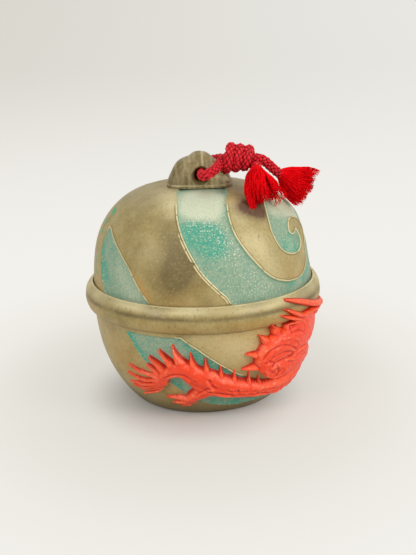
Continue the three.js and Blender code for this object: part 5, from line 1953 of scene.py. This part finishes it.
@dataclass(frozen=True)
class Studio:
    """A pale floor that sweeps up behind, soft lamps, and the camera."""

    floor_colour: Row = paint(211, 208, 203)
    # The near colour is a painted soft shadow round the object; the top left is darker than the top right as
    # painted shade on the backdrop.
    painted_shadow_colour: Row = paint(234, 231, 222)
    far_colour: Row = paint(243, 241, 236)
    top_left: Row = paint(218, 215, 206)
    top_right: Row = paint(232, 231, 226)
    target: Row = (0.0, 0.0, 0.034)
    elevation: float = 16.61
    distance: float = 0.5
    lens: float = 101.3
    roll: float = -1.71
    shift: Row = (0.0091, 0.0205)

    def aim(self) -> None:
        """Makes the camera at the photograph's angle."""
        data = bpy.data.cameras.new("view")
        data.lens = self.lens
        data.sensor_width = 36
        data.sensor_fit = "AUTO"
        data.shift_x, data.shift_y = self.shift
        data.clip_start, data.clip_end = 0.01, 20
        tilt = math.radians(self.elevation)
        back = Vector((0, -math.cos(tilt), math.sin(tilt)))
        camera = put_in("view", data)
        camera.location = Vector(self.target) + back * self.distance
        right = Vector((1, 0, 0))
        up = back.cross(right)
        turned = Matrix((right, up, back)).transposed() @ Matrix.Rotation(math.radians(self.roll), 3, "Z")
        camera.rotation_mode = "QUATERNION"
        camera.rotation_quaternion = turned.to_quaternion()
        bpy.context.scene.camera = camera

    def lay_floor(self) -> None:
        """Makes the floor: flat, then a quarter circle of a large radius up to a wall behind."""
        radius, near, wide, bend_start, top = 0.6, -2.5, 3.0, 0.9, 3.0
        bend = np.linspace(0, math.pi / 2, 24)
        profile = [(near, 0.0)] + [
            (bend_start + radius * math.sin(turn), radius - radius * math.cos(turn)) for turn in bend
        ] + [(bend_start + radius, top)]
        rows = np.array([[(side * wide, y, z) for side in (-1, 1)] for y, z in profile])
        quads = [[2 * i, 2 * i + 1, 2 * i + 3, 2 * i + 2] for i in range(len(profile) - 1)]
        mesh = bpy.data.meshes.new("floor")
        mesh.from_pydata(rows.reshape(-1, 3).tolist(), [], quads)
        mesh.polygons.foreach_set("use_smooth", np.ones(len(quads), bool))
        mesh.materials.append(self.floor_paint())
        floor = put_in("floor", mesh)

    def floor_paint(self) -> Material:
        """Pale and matt, evened out away from the object where the camera sees it.

        Returns:
            The material. The even colour's share is 0 by the object, so that its shadow stays, and grows
            with the distance from the middle. The even colour is itself darker near the object, a painted
            soft shadow, and darker at the top left of the backdrop, painted shade.
        """
        graph = Graph("floor")
        parts = graph.node("ShaderNodeSeparateXYZ", {}, {0: graph.places})
        x, y = parts.out("X"), parts.out("Y")
        across = x + 0.004
        away = across * across + y * y * 0.5
        far = away.step(0.0001, 0.0014) * 0.7 + away.step(0.001, 0.006) * 0.3
        ray = graph.node("ShaderNodeLightPath", {}, {})
        seen = ray.out("Is Camera Ray").most(ray.out("Is Glossy Ray"))
        # Painted shade: the backdrop's top darker to the left; painted soft shadow: the even colour darker
        # near the object.
        top = graph.mix(x.step(-0.25, 0.25), self.top_left, self.top_right)
        colour = graph.mix(away.step(0.001, 0.012), self.painted_shadow_colour, self.far_colour)
        colour = graph.mix(y.step(0.1, 0.75), colour, top)
        named = {"Base Color": self.floor_colour, "Roughness": 0.9, "Specular IOR Level": 0.1}
        lit = graph.node("ShaderNodeBsdfPrincipled", {}, named).out()
        even = graph.node("ShaderNodeEmission", {}, {"Color": colour, "Strength": 1.0}).out()
        mixed = graph.node("ShaderNodeMixShader", {}, {0: far * seen, 1: lit, 2: even}).out()
        graph.node("ShaderNodeOutputMaterial", {}, {"Surface": mixed})
        return graph.material

    def light(self) -> None:
        """Makes the world and the lamps: wide soft boxes at both sides, and a weaker one above and behind."""
        world = bpy.data.worlds.new("studio")
        bpy.context.scene.world = world
        world.use_nodes = True
        sky = world.node_tree.nodes["Background"]
        sky.inputs["Color"].default_value = (1, 1, 1, 1)
        sky.inputs["Strength"].default_value = 0.5
        lamps = (
            ("left_box", (-0.65, -0.7, 0.6), 0.5, 4.3),
            ("right_box", (0.75, -0.5, 0.45), 0.45, 4.9),
            ("top_box", (0, 0.3, 1.0), 0.6, 2.2),
        )
        for name, place, size, power in lamps:
            data = bpy.data.lights.new(name, "AREA")
            data.shape = "SQUARE"
            data.size = size
            data.energy = power
            lamp = put_in(name, data)
            lamp.location = place
            lamp.rotation_mode = "QUATERNION"
            lamp.rotation_quaternion = (Vector(place) - Vector(self.target)).to_track_quat("Z", "Y")


def main() -> None:
    """Loads the frame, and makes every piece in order."""
    logging.basicConfig(level=logging.INFO, format="%(name)s %(message)s", stream=sys.stdout)
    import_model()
    bpy.context.scene.view_settings.view_transform = "Standard"
    studio = Studio()
    studio.aim()
    fringe = CombedThread().dress("red_fringe_thread")
    tassels = [NEAR_TASSEL.build(fringe), FAR_TASSEL.build(fringe)]
    RoundCord().build(BraidThread().dress("red_braid_thread"), tassels)
    bronze = BronzePaint()
    painted = bronze.dress("bronze_and_teal_paint", True)
    plain = bronze.dress("bronze_paint", False)
    shells = Shells()
    shells.build_dome(painted)
    shells.build_bowl(painted)
    EquatorBand().build(plain)
    HangingLug().build(plain)
    RattleBall().build(FiredClay().dress("fired_clay"))
    vermilion = VermilionPaint().dress("vermilion_paint")
    for sprig in (dragon_tail(), dragon_body(), dragon_neck(), dragon_foreleg(), *dragon_head()):
        sprig.build(vermilion)
    studio.lay_floor()
    studio.light()


if __name__ == "__main__":
    main()
